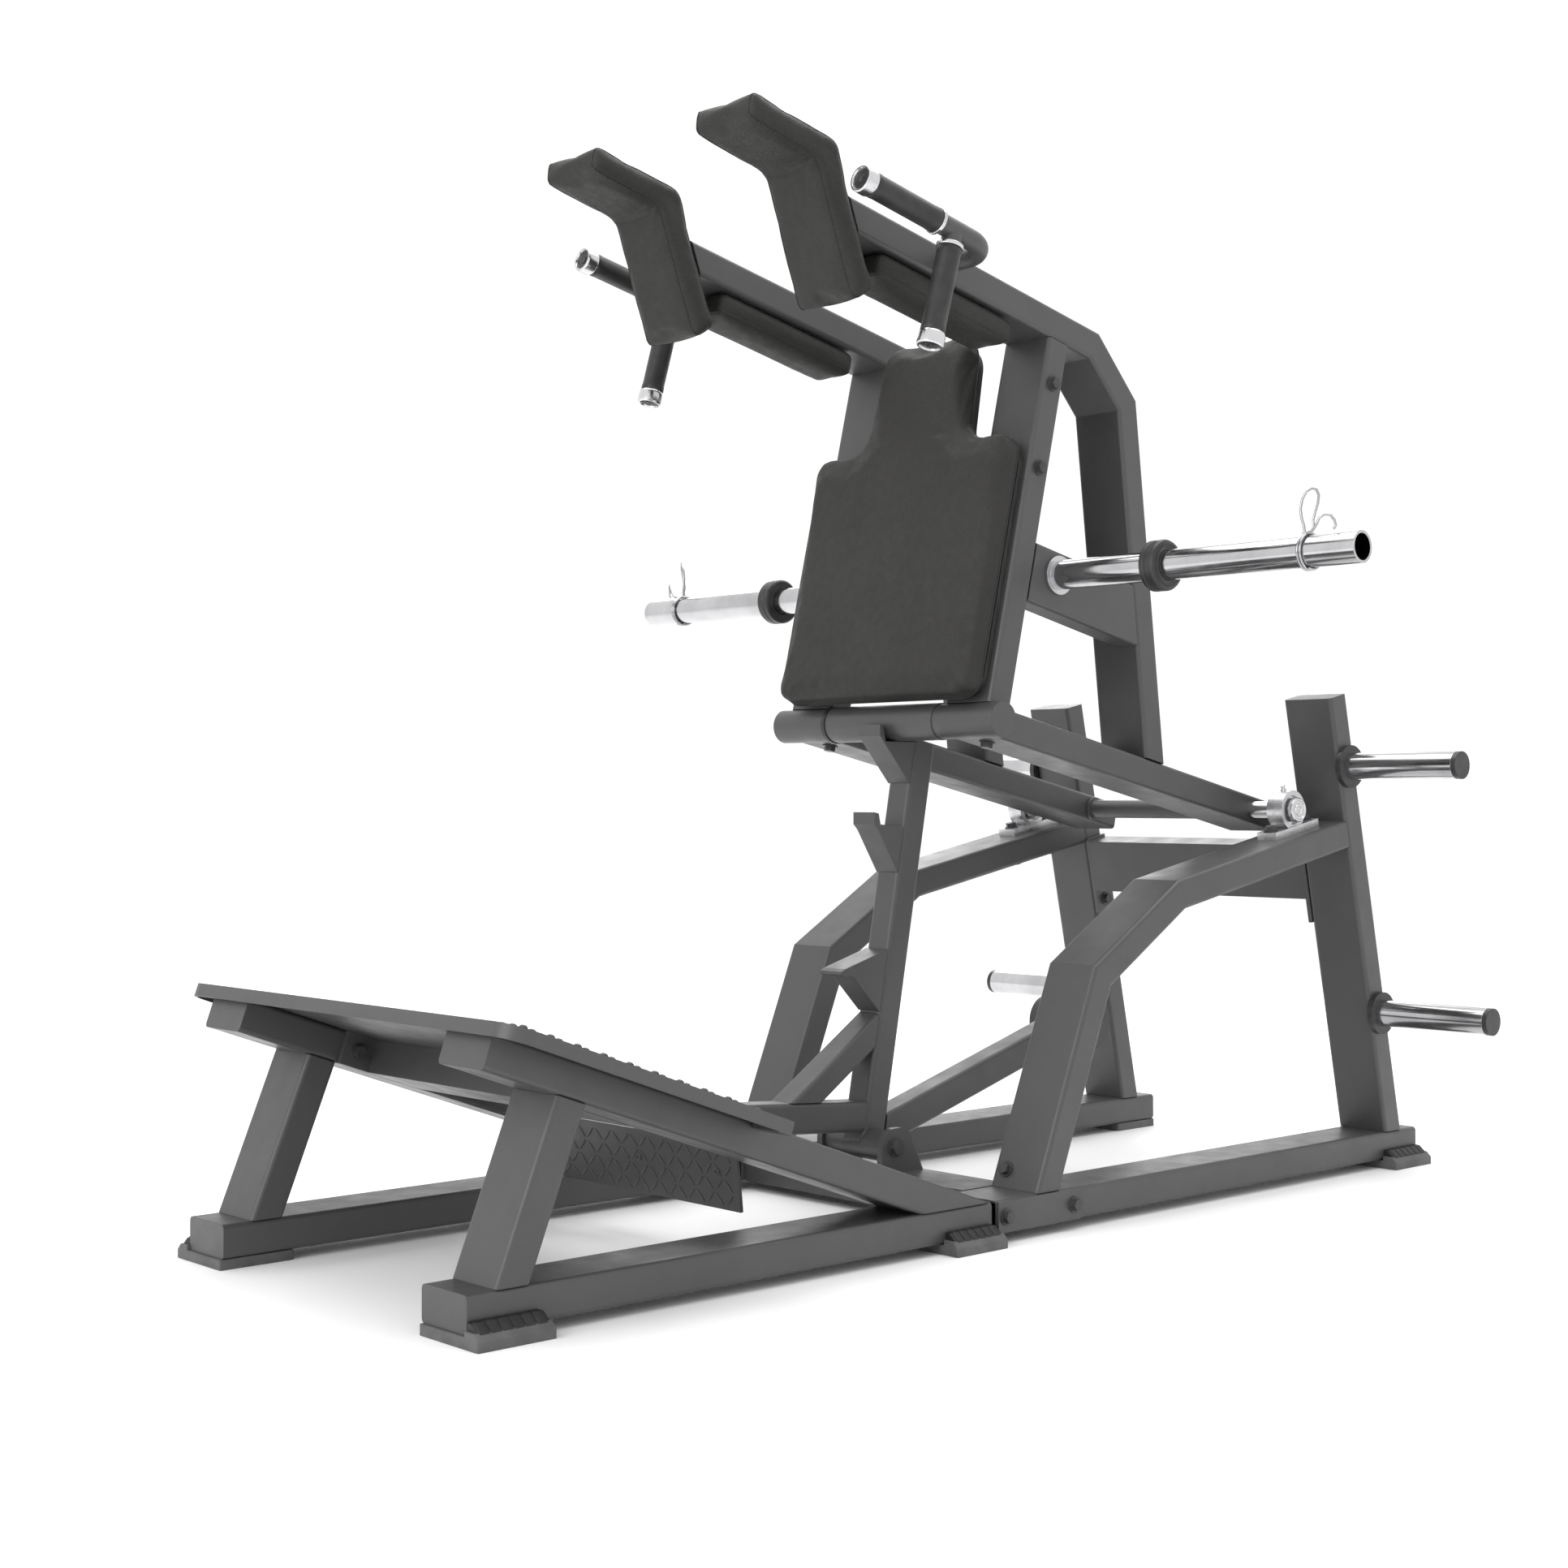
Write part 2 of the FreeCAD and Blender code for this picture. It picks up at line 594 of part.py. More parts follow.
def bearings():
    """Pillow blocks bolted to the arches, each with a bearing insert."""
    base_run, base_wide, base_thick = 130.0, 40.0, 13.0
    housing_wide, housing_radius = 32.0, 35.0
    trim_deep = 60.0
    inserts = []
    bolts = []
    centre = along(PIVOT[0], 0, PIVOT[1])
    for side, sign in SIDES:
        name = "pillow_block_" + side
        corner = arch_top(-base_run / 2)
        foot = box(name + "_foot", str(base_run), str(base_wide), str(base_thick),
                   along(corner[0], sign * RAIL_Y - base_wide / 2, corner[1]), ARCH_TILT)
        start = centre + V(0, sign * RAIL_Y - housing_wide / 2, 0)
        housing = cylinder(name + "_housing", str(housing_radius), str(housing_wide), start, V(0, 1, 0))
        below = arch_top(-base_run / 2, -trim_deep)
        trimmer = box(name + "_trim", str(base_run), str(base_wide), str(trim_deep),
                      along(below[0], sign * RAIL_Y - base_wide / 2, below[1]), ARCH_TILT)
        bore = cylinder(name + "_bore", "Dims.bearing_bore", str(housing_wide), start, V(0, 1, 0))
        solid = cut(name + "_solid", fuse(name + "_blank", [foot, housing]), trimmer)
        keep(cut(name, solid, bore), name)
        outer = cylinder(name + "_insert", "Dims.bearing_bore", str(housing_wide - 12), start + V(0, 6, 0),
                         V(0, 1, 0))
        collar = cylinder(name + "_collar", "Dims.shaft_radius + 6", str(base_wide),
                          centre + V(0, sign * RAIL_Y - base_wide / 2, 0), V(0, 1, 0))
        inner = cylinder(name + "_race", "Dims.shaft_radius + Dims.shaft_clearance", str(base_wide + 2),
                         centre + V(0, sign * RAIL_Y - base_wide / 2 - 1, 0), V(0, 1, 0))
        inserts.append(cut(name + "_bearing", fuse(name + "_bearing_blank", [outer, collar]), inner))
        up = V(-ARCH_RUN[1], 0, ARCH_RUN[0])
        for place, distance in (("front", -50.0), ("rear", 50.0)):
            top = arch_top(distance, base_thick)
            under = arch_top(distance, -DEEP)
            tag = "%s_%s" % (name, place)
            bolts.append(hex_bolt(tag + "_bolt", along(top[0], sign * RAIL_Y, top[1]), up))
            bolts.append(hex_bolt(tag + "_nut", along(under[0], sign * RAIL_Y, under[1]), -up))
    group("bearing_inserts", inserts)
    return bolts


def pivot_shaft():
    """Shaft through both bearings, and the sleeve on it between the levers."""
    centre = along(PIVOT[0], 0, PIVOT[1])
    half = SIZES["shaft_length"] / 2
    keep(cylinder("pivot_shaft", "Dims.shaft_radius", "Dims.shaft_length", centre - V(0, half, 0),
                  V(0, 1, 0)),
         "pivot_shaft")
    start = centre - V(0, ARM_INNER, 0)
    length = "2 * (Dims.arm_centre - Dims.tube_wide / 2)"
    tube_part = ring("shaft_tube_body", "Dims.shaft_tube_radius", "Dims.shaft_radius", length, start,
                     V(0, 1, 0))
    collars = [tube_part]
    for side, sign in SIDES:
        base = centre + V(0, sign * ARM_INNER, 0)
        collars.append(ring("shaft_collar_" + side, "Dims.shaft_tube_radius + 5", "Dims.shaft_tube_radius",
                            "6", base, V(0, -sign, 0)))
    keep(fuse("shaft_tube", collars), "shaft_tube")


# ---------------------------------------------------------------- lever carriage

def levers():
    notches = [(CROSS_TUBE, SIZES["cross_tube_radius"]), (PIVOT, SIZES["shaft_radius"])]
    tube_pair("lever", [CROSS_TUBE, LEVER_REAR], ARM_Y, closed=("end",), notches=notches)


def cross_tube():
    """Front cross tube between the levers, with a rubber sleeve where the lock post catches it."""
    centre = along(CROSS_TUBE[0], 0, CROSS_TUBE[1])
    half = SIZES["cross_tube_length"] / 2
    wall = SIZES["cross_tube_wall"]
    outer = cylinder("cross_tube_outer", "Dims.cross_tube_radius", "Dims.cross_tube_length",
                     centre - V(0, half, 0), V(0, 1, 0))
    core = cylinder("cross_tube_bore", "Dims.cross_tube_radius - Dims.cross_tube_wall",
                    "Dims.cross_tube_length - 2 * Dims.cross_tube_wall", centre - V(0, half - wall,
                                                                                    0), V(0, 1, 0))
    vent = cylinder("cross_tube_vent", "4", "Dims.cross_tube_radius", centre, V(0, 0, 1))
    tube_part = cut("cross_tube_hollow", outer, fuse("cross_tube_space", [core, vent]))
    keep(tube_part, "front_cross_tube")
    start = centre - V(0, SIZES["sleeve_length"] / 2, 0)
    sleeve = ring("lock_sleeve", "Dims.sleeve_radius", "Dims.cross_tube_radius", "Dims.sleeve_length",
                  start, V(0, 1, 0))
    keep(sleeve, "lock_sleeve")


def side_frames():
    """Top beam, knee and rear leg of one side, with the plate that carries the front pad."""
    path = [BEAM_FRONT, BEAM_KNEE, LEG_KNEE, LEG_FOOT]
    lean = unit((811.0, 1441.0), (733.0, 1655.0))
    for side, sign in SIDES:
        name = "side_frame_" + side
        frame = welded_tube(name, path, sign * ARM_Y, cuts=(lean, LEVER_RUN))
        plate_foot = step(step(BEAM_FRONT, lean, -95.0), lean, 0.0, 5.5)
        outline = [plate_foot, step(plate_foot, lean, 170.0), step(plate_foot, lean, 170.0, -5.5),
                   step(plate_foot, lean, 0.0, -5.5)]
        plate = prism(name + "_plate", outline, "Dims.tube_wide - 10", sign * ARM_Y)
        keep(fuse(name, [frame, plate]), name)
    tube_pair("arm_upright", ARM_UPRIGHT, ARM_Y, cuts=(LEVER_RUN, BEAM_RUN),
              notches=[(CROSS_TUBE, SIZES["cross_tube_radius"])])
    brace_y = ARM_Y + WIDE / 2 - DEEP / 2
    tube_pair("horn_brace", BRACE_PATH, brace_y, cuts=(ARM_RUN, LEG_RUN), wide="tube_deep", deep=WIDE)


def weight_horns():
    """Hollow plate-loading horns with a base ring and a stop collar."""
    for side, sign in SIDES:
        name = "weight_horn_" + side
        axis = V(0, sign, 0)
        base = along(HORN[0], sign * ARM_OUTER, HORN[1])
        sleeve = cylinder(name + "_sleeve", "Dims.horn_radius", "Dims.horn_length", base, axis)
        foot = cylinder(name + "_foot", "Dims.horn_radius + 8", "7", base, axis)
        stop = cylinder(name + "_stop", "Dims.horn_stop_radius", "Dims.horn_stop_thick",
                        base + axis * SIZES["horn_stop_start"], axis)
        bore = cylinder(name + "_bore", "Dims.horn_radius - Dims.horn_wall", "Dims.horn_length", base, axis)
        keep(cut(name, fuse(name + "_blank", [sleeve, foot, stop]), bore), name)


def spring_clips():
    """Sprung collars that hold the plates on the horns; each has two finger loops."""
    station = 716.0
    for side, sign in SIDES:
        name = "spring_clip_" + side
        axis = V(0, sign, 0)
        base = along(HORN[0], sign * station, HORN[1])
        blank = cylinder(name + "_band", "Dims.clip_outer", "Dims.clip_wide", base, axis)
        loops = []
        for place, turn, reach in (("tall", -12.0, 64.0), ("short", 12.0, 25.0)):
            angle = math.radians(turn)
            tip = V(math.sin(angle), 0, math.cos(angle))
            start = base + axis * (SIZES["clip_wide"] / 2) + tip * 26.0
            loops.append(cylinder("%s_%s_loop" % (name, place), "3.5", str(reach), start, tip))
        bore = cylinder(name + "_bore", "Dims.clip_inner", "Dims.clip_wide + 2", base - axis, axis)
        keep(cut(name, fuse(name + "_blank", [blank] + loops), bore), name)


# ---------------------------------------------------------------- pads and handles

def back_pad():
    """Back pad with a narrow neck between the side frames, hollowed at its foot to clear the cross tube."""
    tilt = 90.0 + slope_degrees(ARM_RUN)
    front = step(ARM_FOOT, ARM_RUN, 0.0, DEEP / 2)
    board = SIZES["back_board_thick"]
    pad_half, neck_half = 234.0, 105.0
    shoulder, top = 454.0, 644.0
    start, tube_gap = -8.0, 5.0
    outline = [(-pad_half, 0.0), (pad_half, 0.0), (pad_half, shoulder), (neck_half + 14, shoulder),
               (neck_half, top), (-neck_half, top), (-neck_half - 14, shoulder), (-pad_half, shoulder)]
    radii = [42, 42, 42, 42, 52, 52, 42, 42]
    inset = 12.0
    inner = [(-pad_half + inset, inset), (pad_half - inset, inset), (pad_half - inset, shoulder - inset),
             (neck_half + 14 - inset, shoulder - inset), (neck_half - inset, top - inset),
             (-neck_half + inset, top - inset), (-neck_half - 14 + inset, shoulder - inset),
             (-pad_half + inset, shoulder - inset)]
    for name, points, thick, gap in (("back_pad", outline, "Dims.back_pad_thick", board + 23.0),
                                     ("back_pad_board", inner, "Dims.back_board_thick", board / 2)):
        body = new_body(name + "_blank")
        sketch = new_sketch(body, "YZ_Plane", name + "_face")
        draw_rounded(sketch, points, radii)
        add_pad(body, sketch, thick)
        seat = step(front, ARM_RUN, start, gap)
        body.Placement = FreeCAD.Placement(along(seat[0], 0, seat[1]), FreeCAD.Rotation(V(0, 1, 0), tilt))
        hollow = cylinder(name + "_hollow", "Dims.sleeve_radius + %s" % tube_gap, str(2 * pad_half + 20),
                          along(CROSS_TUBE[0], -pad_half - 10, CROSS_TUBE[1]), V(0, 1, 0))
        keep(cut(name, body, hollow), name)


def front_pads():
    """Hooked pads over the front ends of the beams."""
    outline = [(549.0, 1651.0), (553.0, 1698.0), (733.0, 1655.0), (811.0, 1440.0), (762.0, 1409.0),
               (686.0, 1618.0)]
    radii = [12, 16, 28, 16, 16, 26]
    for side, sign in SIDES:
        name = "front_pad_" + side
        keep(prism(name, outline, "Dims.front_pad_wide", sign * ARM_Y, radii), name)


def shoulder_pads():
    """Straight pads under the beams, above the user's shoulders."""
    thick = SIZES["shoulder_pad_thick"]
    top = step(BEAM_FRONT, BEAM_RUN, 66.0, -DEEP / 2 - 2.0)
    length = 320.0
    outline = [top, step(top, BEAM_RUN, length), step(top, BEAM_RUN, length, -thick),
               step(top, BEAM_RUN, 0.0, -thick)]
    for side, sign in SIDES:
        name = "shoulder_pad_" + side
        keep(prism(name, outline, "Dims.tube_wide - 2", sign * ARM_Y, [4, 10, 12, 12]), name)


HANDLE_START = (697.0, 1571.0)
HANDLE_ROOT = step(HANDLE_START, BEAM_RUN, 196.0)
HANDLE_HANG = unit((884.0, 1501.0), (842.0, 1352.0))


def handle_sweep(name, sign, radius):
    """The bent run of a handle with one round section: forward, round the bend and into the beam's side."""
    straight, bend = SIZES["handle_straight"], SIZES["handle_bend"]
    inward = SIZES["handle_reach"] - ARM_OUTER
    half_turn = math.pi / 4
    body = new_body(name)
    spine = new_sketch(body, "XY_Plane", name + "_line")
    corner = V(straight + bend, -sign * bend, 0)
    middle = V(straight + bend * math.sin(half_turn), -sign * bend * (1 - math.cos(half_turn)), 0)
    spine.addGeometry(Part.LineSegment(V(0, 0, 0), V(straight, 0, 0)), False)
    spine.addGeometry(Part.Arc(V(straight, 0, 0), middle, corner), False)
    spine.addGeometry(Part.LineSegment(corner, V(straight + bend, -sign * inward, 0)), False)
    section = new_sketch(body, "YZ_Plane", name + "_section")
    section.addGeometry(Part.Circle(V(0, 0, 0), V(0, 0, 1), radius), False)
    pipe = body.newObject("PartDesign::AdditivePipe", name + "_sweep")
    pipe.Profile = section
    pipe.Spine = spine
    body.Placement = FreeCAD.Placement(along(HANDLE_START[0], sign * SIZES["handle_reach"], HANDLE_START[1]),
                                       FreeCAD.Rotation(V(0, 1, 0), slope_degrees(BEAM_RUN)))
    return body


def handle_tube(side, sign):
    """Curved handle tube with a hanging stub welded under it."""
    name = "handle_tube_" + side
    wall = SIZES["handle_wall"]
    root = along(HANDLE_ROOT[0], sign * SIZES["handle_reach"], HANDLE_ROOT[1])
    down = V(HANDLE_HANG[0], 0, HANDLE_HANG[1])
    outside = fuse(name + "_outside", [
        handle_sweep(name + "_run", sign, SIZES["handle_radius"]),
        cylinder(name + "_stub", "Dims.handle_stub_radius", "Dims.handle_stub_length", root, down)])
    inside = fuse(name + "_inside", [
        handle_sweep(name + "_bore", sign, SIZES["handle_radius"] - wall),
        cylinder(name + "_stub_bore", "Dims.handle_stub_radius - Dims.handle_wall", "Dims.handle_stub_length",
                 root, down)])
    keep(cut(name, outside, inside), name)


def handles():
    """Curved handle tubes on the beams' outsides; each carries a forward grip and a hanging grip."""
    cap_lip = 4.0
    cap = SIZES["grip_cap_length"]
    grips = []
    rings = []
    for side, sign in SIDES:
        handle_tube(side, sign)
        reach = sign * SIZES["handle_reach"]
        down = V(HANDLE_HANG[0], 0, HANDLE_HANG[1])
        low_end = along(HANDLE_ROOT[0], reach, HANDLE_ROOT[1]) + down * SIZES["handle_stub_length"]
        front_end = along(HANDLE_START[0], reach, HANDLE_START[1])
        for place, end, axis in (("forward", front_end, V(BEAM_RUN[0], 0, BEAM_RUN[1])),
                                 ("hanging", low_end, -down)):
            tag = "grip_%s_%s" % (place, side)
            grips.append(ring(tag, "Dims.grip_radius", "Dims.handle_radius", "Dims.grip_length",
                              end + axis * cap, axis))
            shell = cylinder(tag + "_cap_outer", "Dims.grip_cap_radius",
                             "Dims.grip_cap_length + %s" % cap_lip,
                             end - axis * cap_lip, axis)
            hollow = cylinder(tag + "_cap_inner", "Dims.handle_radius", "Dims.grip_cap_length", end, axis)
            rings.append(cut(tag + "_cap", shell, hollow))
            rings.append(ring(tag + "_ring", "Dims.grip_cap_radius", "Dims.handle_radius",
                              "Dims.grip_ring_length",
                              end + axis * (cap + SIZES["grip_length"]), axis))
    group("handle_grips", grips)
    group("grip_caps_and_rings", rings)


# ---------------------------------------------------------------- lock post

def lock_ears():
    """Two ears with a bore for the bolt that the lock turns on."""
    outline = [(990.0, RAIL_TOP), (1084.0, RAIL_TOP), (1050.0, 138.0), (990.0, 138.0), (990.0, 100.0)]
    ears = []
    for side, sign in SIDES:
        ears.append(prism("lock_ear_" + side, outline, "Dims.ear_thick", sign * EAR_Y, [0, 0, 28, 29, 0]))
    start = along(LOCK_PIVOT[0], -SIZES["lock_bolt_length"], LOCK_PIVOT[1])
    bore = cylinder("lock_ear_bore", "Dims.lock_bolt_radius", "2 * Dims.lock_bolt_length", start, V(0, 1, 0))
    return cut("lock_ears", fuse("lock_ear_blanks", ears), bore)


def lock_bolt():
    """The bolt that the lock turns on, with a large head at both ends."""
    centre = along(LOCK_PIVOT[0], 0, LOCK_PIVOT[1])
    length = SIZES["lock_bolt_length"]
    reach = EAR_Y + SIZES["ear_thick"] / 2
    shank = cylinder("lock_bolt_shank", "Dims.lock_bolt_radius", "Dims.lock_bolt_length",
                     centre - V(0, length / 2, 0), V(0, 1, 0))
    heads = [hex_bolt("lock_bolt_head_" + side, centre + V(0, sign * reach, 0), V(0, sign, 0))
             for side, sign in SIDES]
    for head in heads:
        head.Shapes[1].setExpression("Circumradius", "Dims.bolt_head_radius + 3")
        head.Shapes[0].setExpression("Radius", "Dims.washer_radius + 3")
    keep(fuse("lock_pivot_bolt", [shank] + heads), "lock_pivot_bolt")


def post_front(z):
    """A station on the post's front face at a height."""
    face = step(POST_FOOT, POST_RUN, 0.0, DEEP / 2)
    return crossing(face, POST_RUN, (0.0, z), LEVEL)


def lock_frame():
    """Post with its hooks, the pedal arm in front and the counterweight arm behind."""
    centre = along(LOCK_PIVOT[0], 0, LOCK_PIVOT[1])
    half = SIZES["lock_tube_length"] / 2
    pivot_tube = ring("lock_pivot_tube", "Dims.lock_tube_radius",
                      "Dims.lock_bolt_radius + Dims.shaft_clearance",
                      "Dims.lock_tube_length", centre - V(0, half, 0), V(0, 1, 0))
    keep(pivot_tube, "lock_pivot_tube")
    notch = [(LOCK_PIVOT, SIZES["lock_tube_radius"])]
    tube("lock_post", [step(POST_FOOT, POST_RUN, -20.0), POST_HEAD], 0.0, closed=("end",), cuts=(LEVEL, None),
         wide="tube_deep", notches=notch)
    seat = CROSS_TUBE[1] - SIZES["sleeve_radius"] - 0.5
    upper = [post_front(seat), (1050.0, seat), (1045.0, 793.0), (1037.0, 795.0), (1037.0, 776.0),
             post_front(698.0)]
    middle = [post_front(625.0), (1038.0, 630.0), (1034.0, 648.0), (1024.0, 650.0), (1024.0, 630.0),
              (1033.0, 621.0), post_front(550.0)]
    lower = [post_front(424.0), (958.0, 396.0), (949.0, 392.0), (948.0, 387.0), (955.0, 383.0),
             (975.0, 383.0),
             post_front(322.0)]
    hooks = []
    for name, outline in (("upper", upper), ("middle", middle), ("lower", lower)):
        hooks.append(prism("lock_hook_" + name, outline, "Dims.tube_deep"))
    group("lock_hooks", hooks)
    arm_front, arm_rear = (562.0, 184.0), (1012.0, 152.0)
    arm_run = unit(arm_front, arm_rear)
    arm_end = crossing(arm_front, arm_run, post_front(152.0), POST_RUN)
    arm = welded_tube("pedal_arm", [arm_front, arm_end], 0.0, closed=("start",), cuts=(None, POST_RUN),
                      wide="tube_deep", notches=notch)
    strut_foot = crossing(step(arm_front, arm_run, 0.0, DEEP / 2), arm_run, (874.0, 190.0), (0.0, 1.0))
    strut_head = post_front(290.0)
    strut = welded_tube("pedal_arm_strut", [strut_foot, strut_head], 0.0, cuts=(arm_run, POST_RUN),
                        wide="tube_deep", deep=44.0)
    keep(fuse("pedal_arm", [arm, strut]), "pedal_arm")
    rear_aim = (1078.0, 134.0)
    rear_foot = crossing(step(POST_FOOT, POST_RUN, 0.0, -DEEP / 2), POST_RUN, rear_aim,
                         unit(rear_aim, COUNTERWEIGHT))
    tube("counterweight_arm", [rear_foot, COUNTERWEIGHT], 0.0, cuts=(POST_RUN, None), wide="tube_deep",
         notches=[(COUNTERWEIGHT, SIZES["weight_radius"])] + notch)
    start = along(COUNTERWEIGHT[0], -SIZES["weight_length"] / 2, COUNTERWEIGHT[1])
    keep(cylinder("counterweight", "Dims.weight_radius", "Dims.weight_length", start, V(0, 1, 0)),
         "counterweight")


def pedal():
    """Foot pedal: a crossbar under the arm's front end and a leaned tread plate."""
    bar = box("pedal_bar", "38", "360", "38", along(564.0, -180.0, 118.0))
    core = box("pedal_bar_bore", "32", "360", "32", along(567.0, -180.0, 121.0))
    keep(cut("pedal_crossbar", bar, core), "pedal_crossbar")
    lean = unit((560.0, 80.0), (550.0, 177.0))
    foot = (562.0, 80.0)
    top = step(foot, lean, SIZES["pedal_tall"])
    thick = SIZES["pedal_thick"]
    outline = [foot, top, step(top, lean, 0.0, thick), step(foot, lean, 0.0, thick)]
    keep(prism("pedal_plate", outline, "Dims.pedal_wide"), "pedal_plate")


# ---------------------------------------------------------------- fasteners

def frame_bolts(bolts):
    """Hexagon bolts of the floor frame, with those of the bearings."""
    inner = RAIL_INNER - SIZES["flange_thick"]
    outer = RAIL_OUTER + SIZES["joint_plate_thick"]
    beam_bolt = step(SUPPORT_FRONT, SUPPORT_RUN, 196.0)
    rear_bolt = step(UPRIGHT_FOOT, UPRIGHT_RUN, 416.0)
    for side, sign in SIDES:
        for tag, station, z in (("front", 974.0, 40.0), ("rear", 1131.0, 40.0)):
            bolts.append(hex_bolt("joint_bolt_%s_%s" % (tag, side), along(station, sign * outer, z),
                                  V(0, sign, 0)))
        inward = V(0, -sign, 0)
        bolts.append(hex_bolt("footplate_bolt_" + side, along(beam_bolt[0], sign * inner, beam_bolt[1]),
                              inward))
        bolts.append(hex_bolt("rear_bolt_" + side, along(rear_bolt[0], sign * inner, rear_bolt[1]), inward))
        foot_run = unit(ARCH_PATH[0], ARCH_PATH[1])
        arch = step(ARCH_PATH[0], foot_run, 20.0, DEEP / 2)
        bolts.append(hex_bolt("arch_bolt_" + side, along(arch[0], sign * (RAIL_INNER + 25), arch[1]),
                              V(-foot_run[1], 0, foot_run[0])))
    group("frame_bolts", bolts)


def arm_bolts():
    """Hexagon bolts that hold the back pad's uprights and the levers' front ends."""
    bolts = []
    below = step(PIVOT, LEVER_RUN, 655.0, DEEP / 2)
    down = V(-LEVER_RUN[1], 0, LEVER_RUN[0])
    for side, sign in SIDES:
        for tag, distance in (("low", 400.0), ("high", 545.0)):
            point = step(ARM_FOOT, ARM_RUN, distance)
            bolts.append(hex_bolt("upright_bolt_%s_%s" % (tag, side),
                                  along(point[0], sign * ARM_OUTER, point[1]),
                                  V(0, sign, 0)))
        bolts.append(hex_bolt("lever_bolt_" + side, along(below[0], sign * ARM_Y, below[1]), down))
    group("arm_bolts", bolts)


floor_rails()
rubber_feet()
footplate_frame()
footplate()
floor_cross_beam()
arches_and_uprights()
storage_pegs()
bearing_bolts = bearings()
pivot_shaft()
levers()
cross_tube()
side_frames()
weight_horns()
spring_clips()
back_pad()
front_pads()
shoulder_pads()
handles()
lock_bolt()
lock_frame()
pedal()
frame_bolts(bearing_bolts)
arm_bolts()
doc.recompute()

# ---------------------------------------------------------------- checks and export

for item in doc.Objects:
    if "Invalid" in item.State or "Error" in item.State:
        raise RuntimeError("%s (%s) did not rebuild: %s" % (item.Name, item.Label, item.State))
for part in made:
    if part.Shape.isNull() or not part.Shape.isValid() or not part.Shape.Solids:
        raise RuntimeError("%s has no valid solid" % part.Label)
os.makedirs("parts", exist_ok=True)
for part in made:
    part.Shape.exportStep("parts/%s.step" % part.Label)
print("%d sub-parts" % len(made))
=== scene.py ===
import json
import math

import bmesh
import bpy
import numpy as np
from mathutils import Matrix, Vector
from mathutils.bvhtree import BVHTree


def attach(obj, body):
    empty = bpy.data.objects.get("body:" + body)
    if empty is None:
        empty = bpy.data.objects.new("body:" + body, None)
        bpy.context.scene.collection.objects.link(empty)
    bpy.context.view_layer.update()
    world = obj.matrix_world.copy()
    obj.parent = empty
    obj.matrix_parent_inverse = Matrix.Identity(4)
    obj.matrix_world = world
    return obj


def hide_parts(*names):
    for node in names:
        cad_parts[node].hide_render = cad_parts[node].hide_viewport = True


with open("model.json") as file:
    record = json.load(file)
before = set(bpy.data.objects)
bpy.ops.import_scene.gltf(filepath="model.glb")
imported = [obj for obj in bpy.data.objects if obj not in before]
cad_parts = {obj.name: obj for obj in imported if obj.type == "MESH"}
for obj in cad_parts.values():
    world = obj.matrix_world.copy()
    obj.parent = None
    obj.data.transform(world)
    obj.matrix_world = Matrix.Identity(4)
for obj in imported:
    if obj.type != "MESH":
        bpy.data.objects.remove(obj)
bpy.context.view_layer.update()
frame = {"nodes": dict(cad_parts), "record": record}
nodes = frame["nodes"]
scene = bpy.context.scene

# Metres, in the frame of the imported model: +X to the rear uprights, +Z up, the machine symmetric about y = 0.
SIDES = (("left", -1), ("right", 1))
MIDDLE = 1.050                     # station of the origin, from the front ends of the floor rails
Y_AXIS = Vector((0, 1, 0))


def at(station, y, z):
    """A point from its station, all in millimetres."""
    return Vector((station / 1000 - MIDDLE, y / 1000, z / 1000))


def direction(start, end):
    """Unit vector in the XZ plane from one (station, height) to another."""
    return Vector((end[0] - start[0], 0, end[1] - start[1])).normalized()


def left_of(axis):
    """The direction a quarter turn up from an XZ direction."""
    return Vector((-axis.z, 0, axis.x))


# ---------------------------------------------------------------- materials

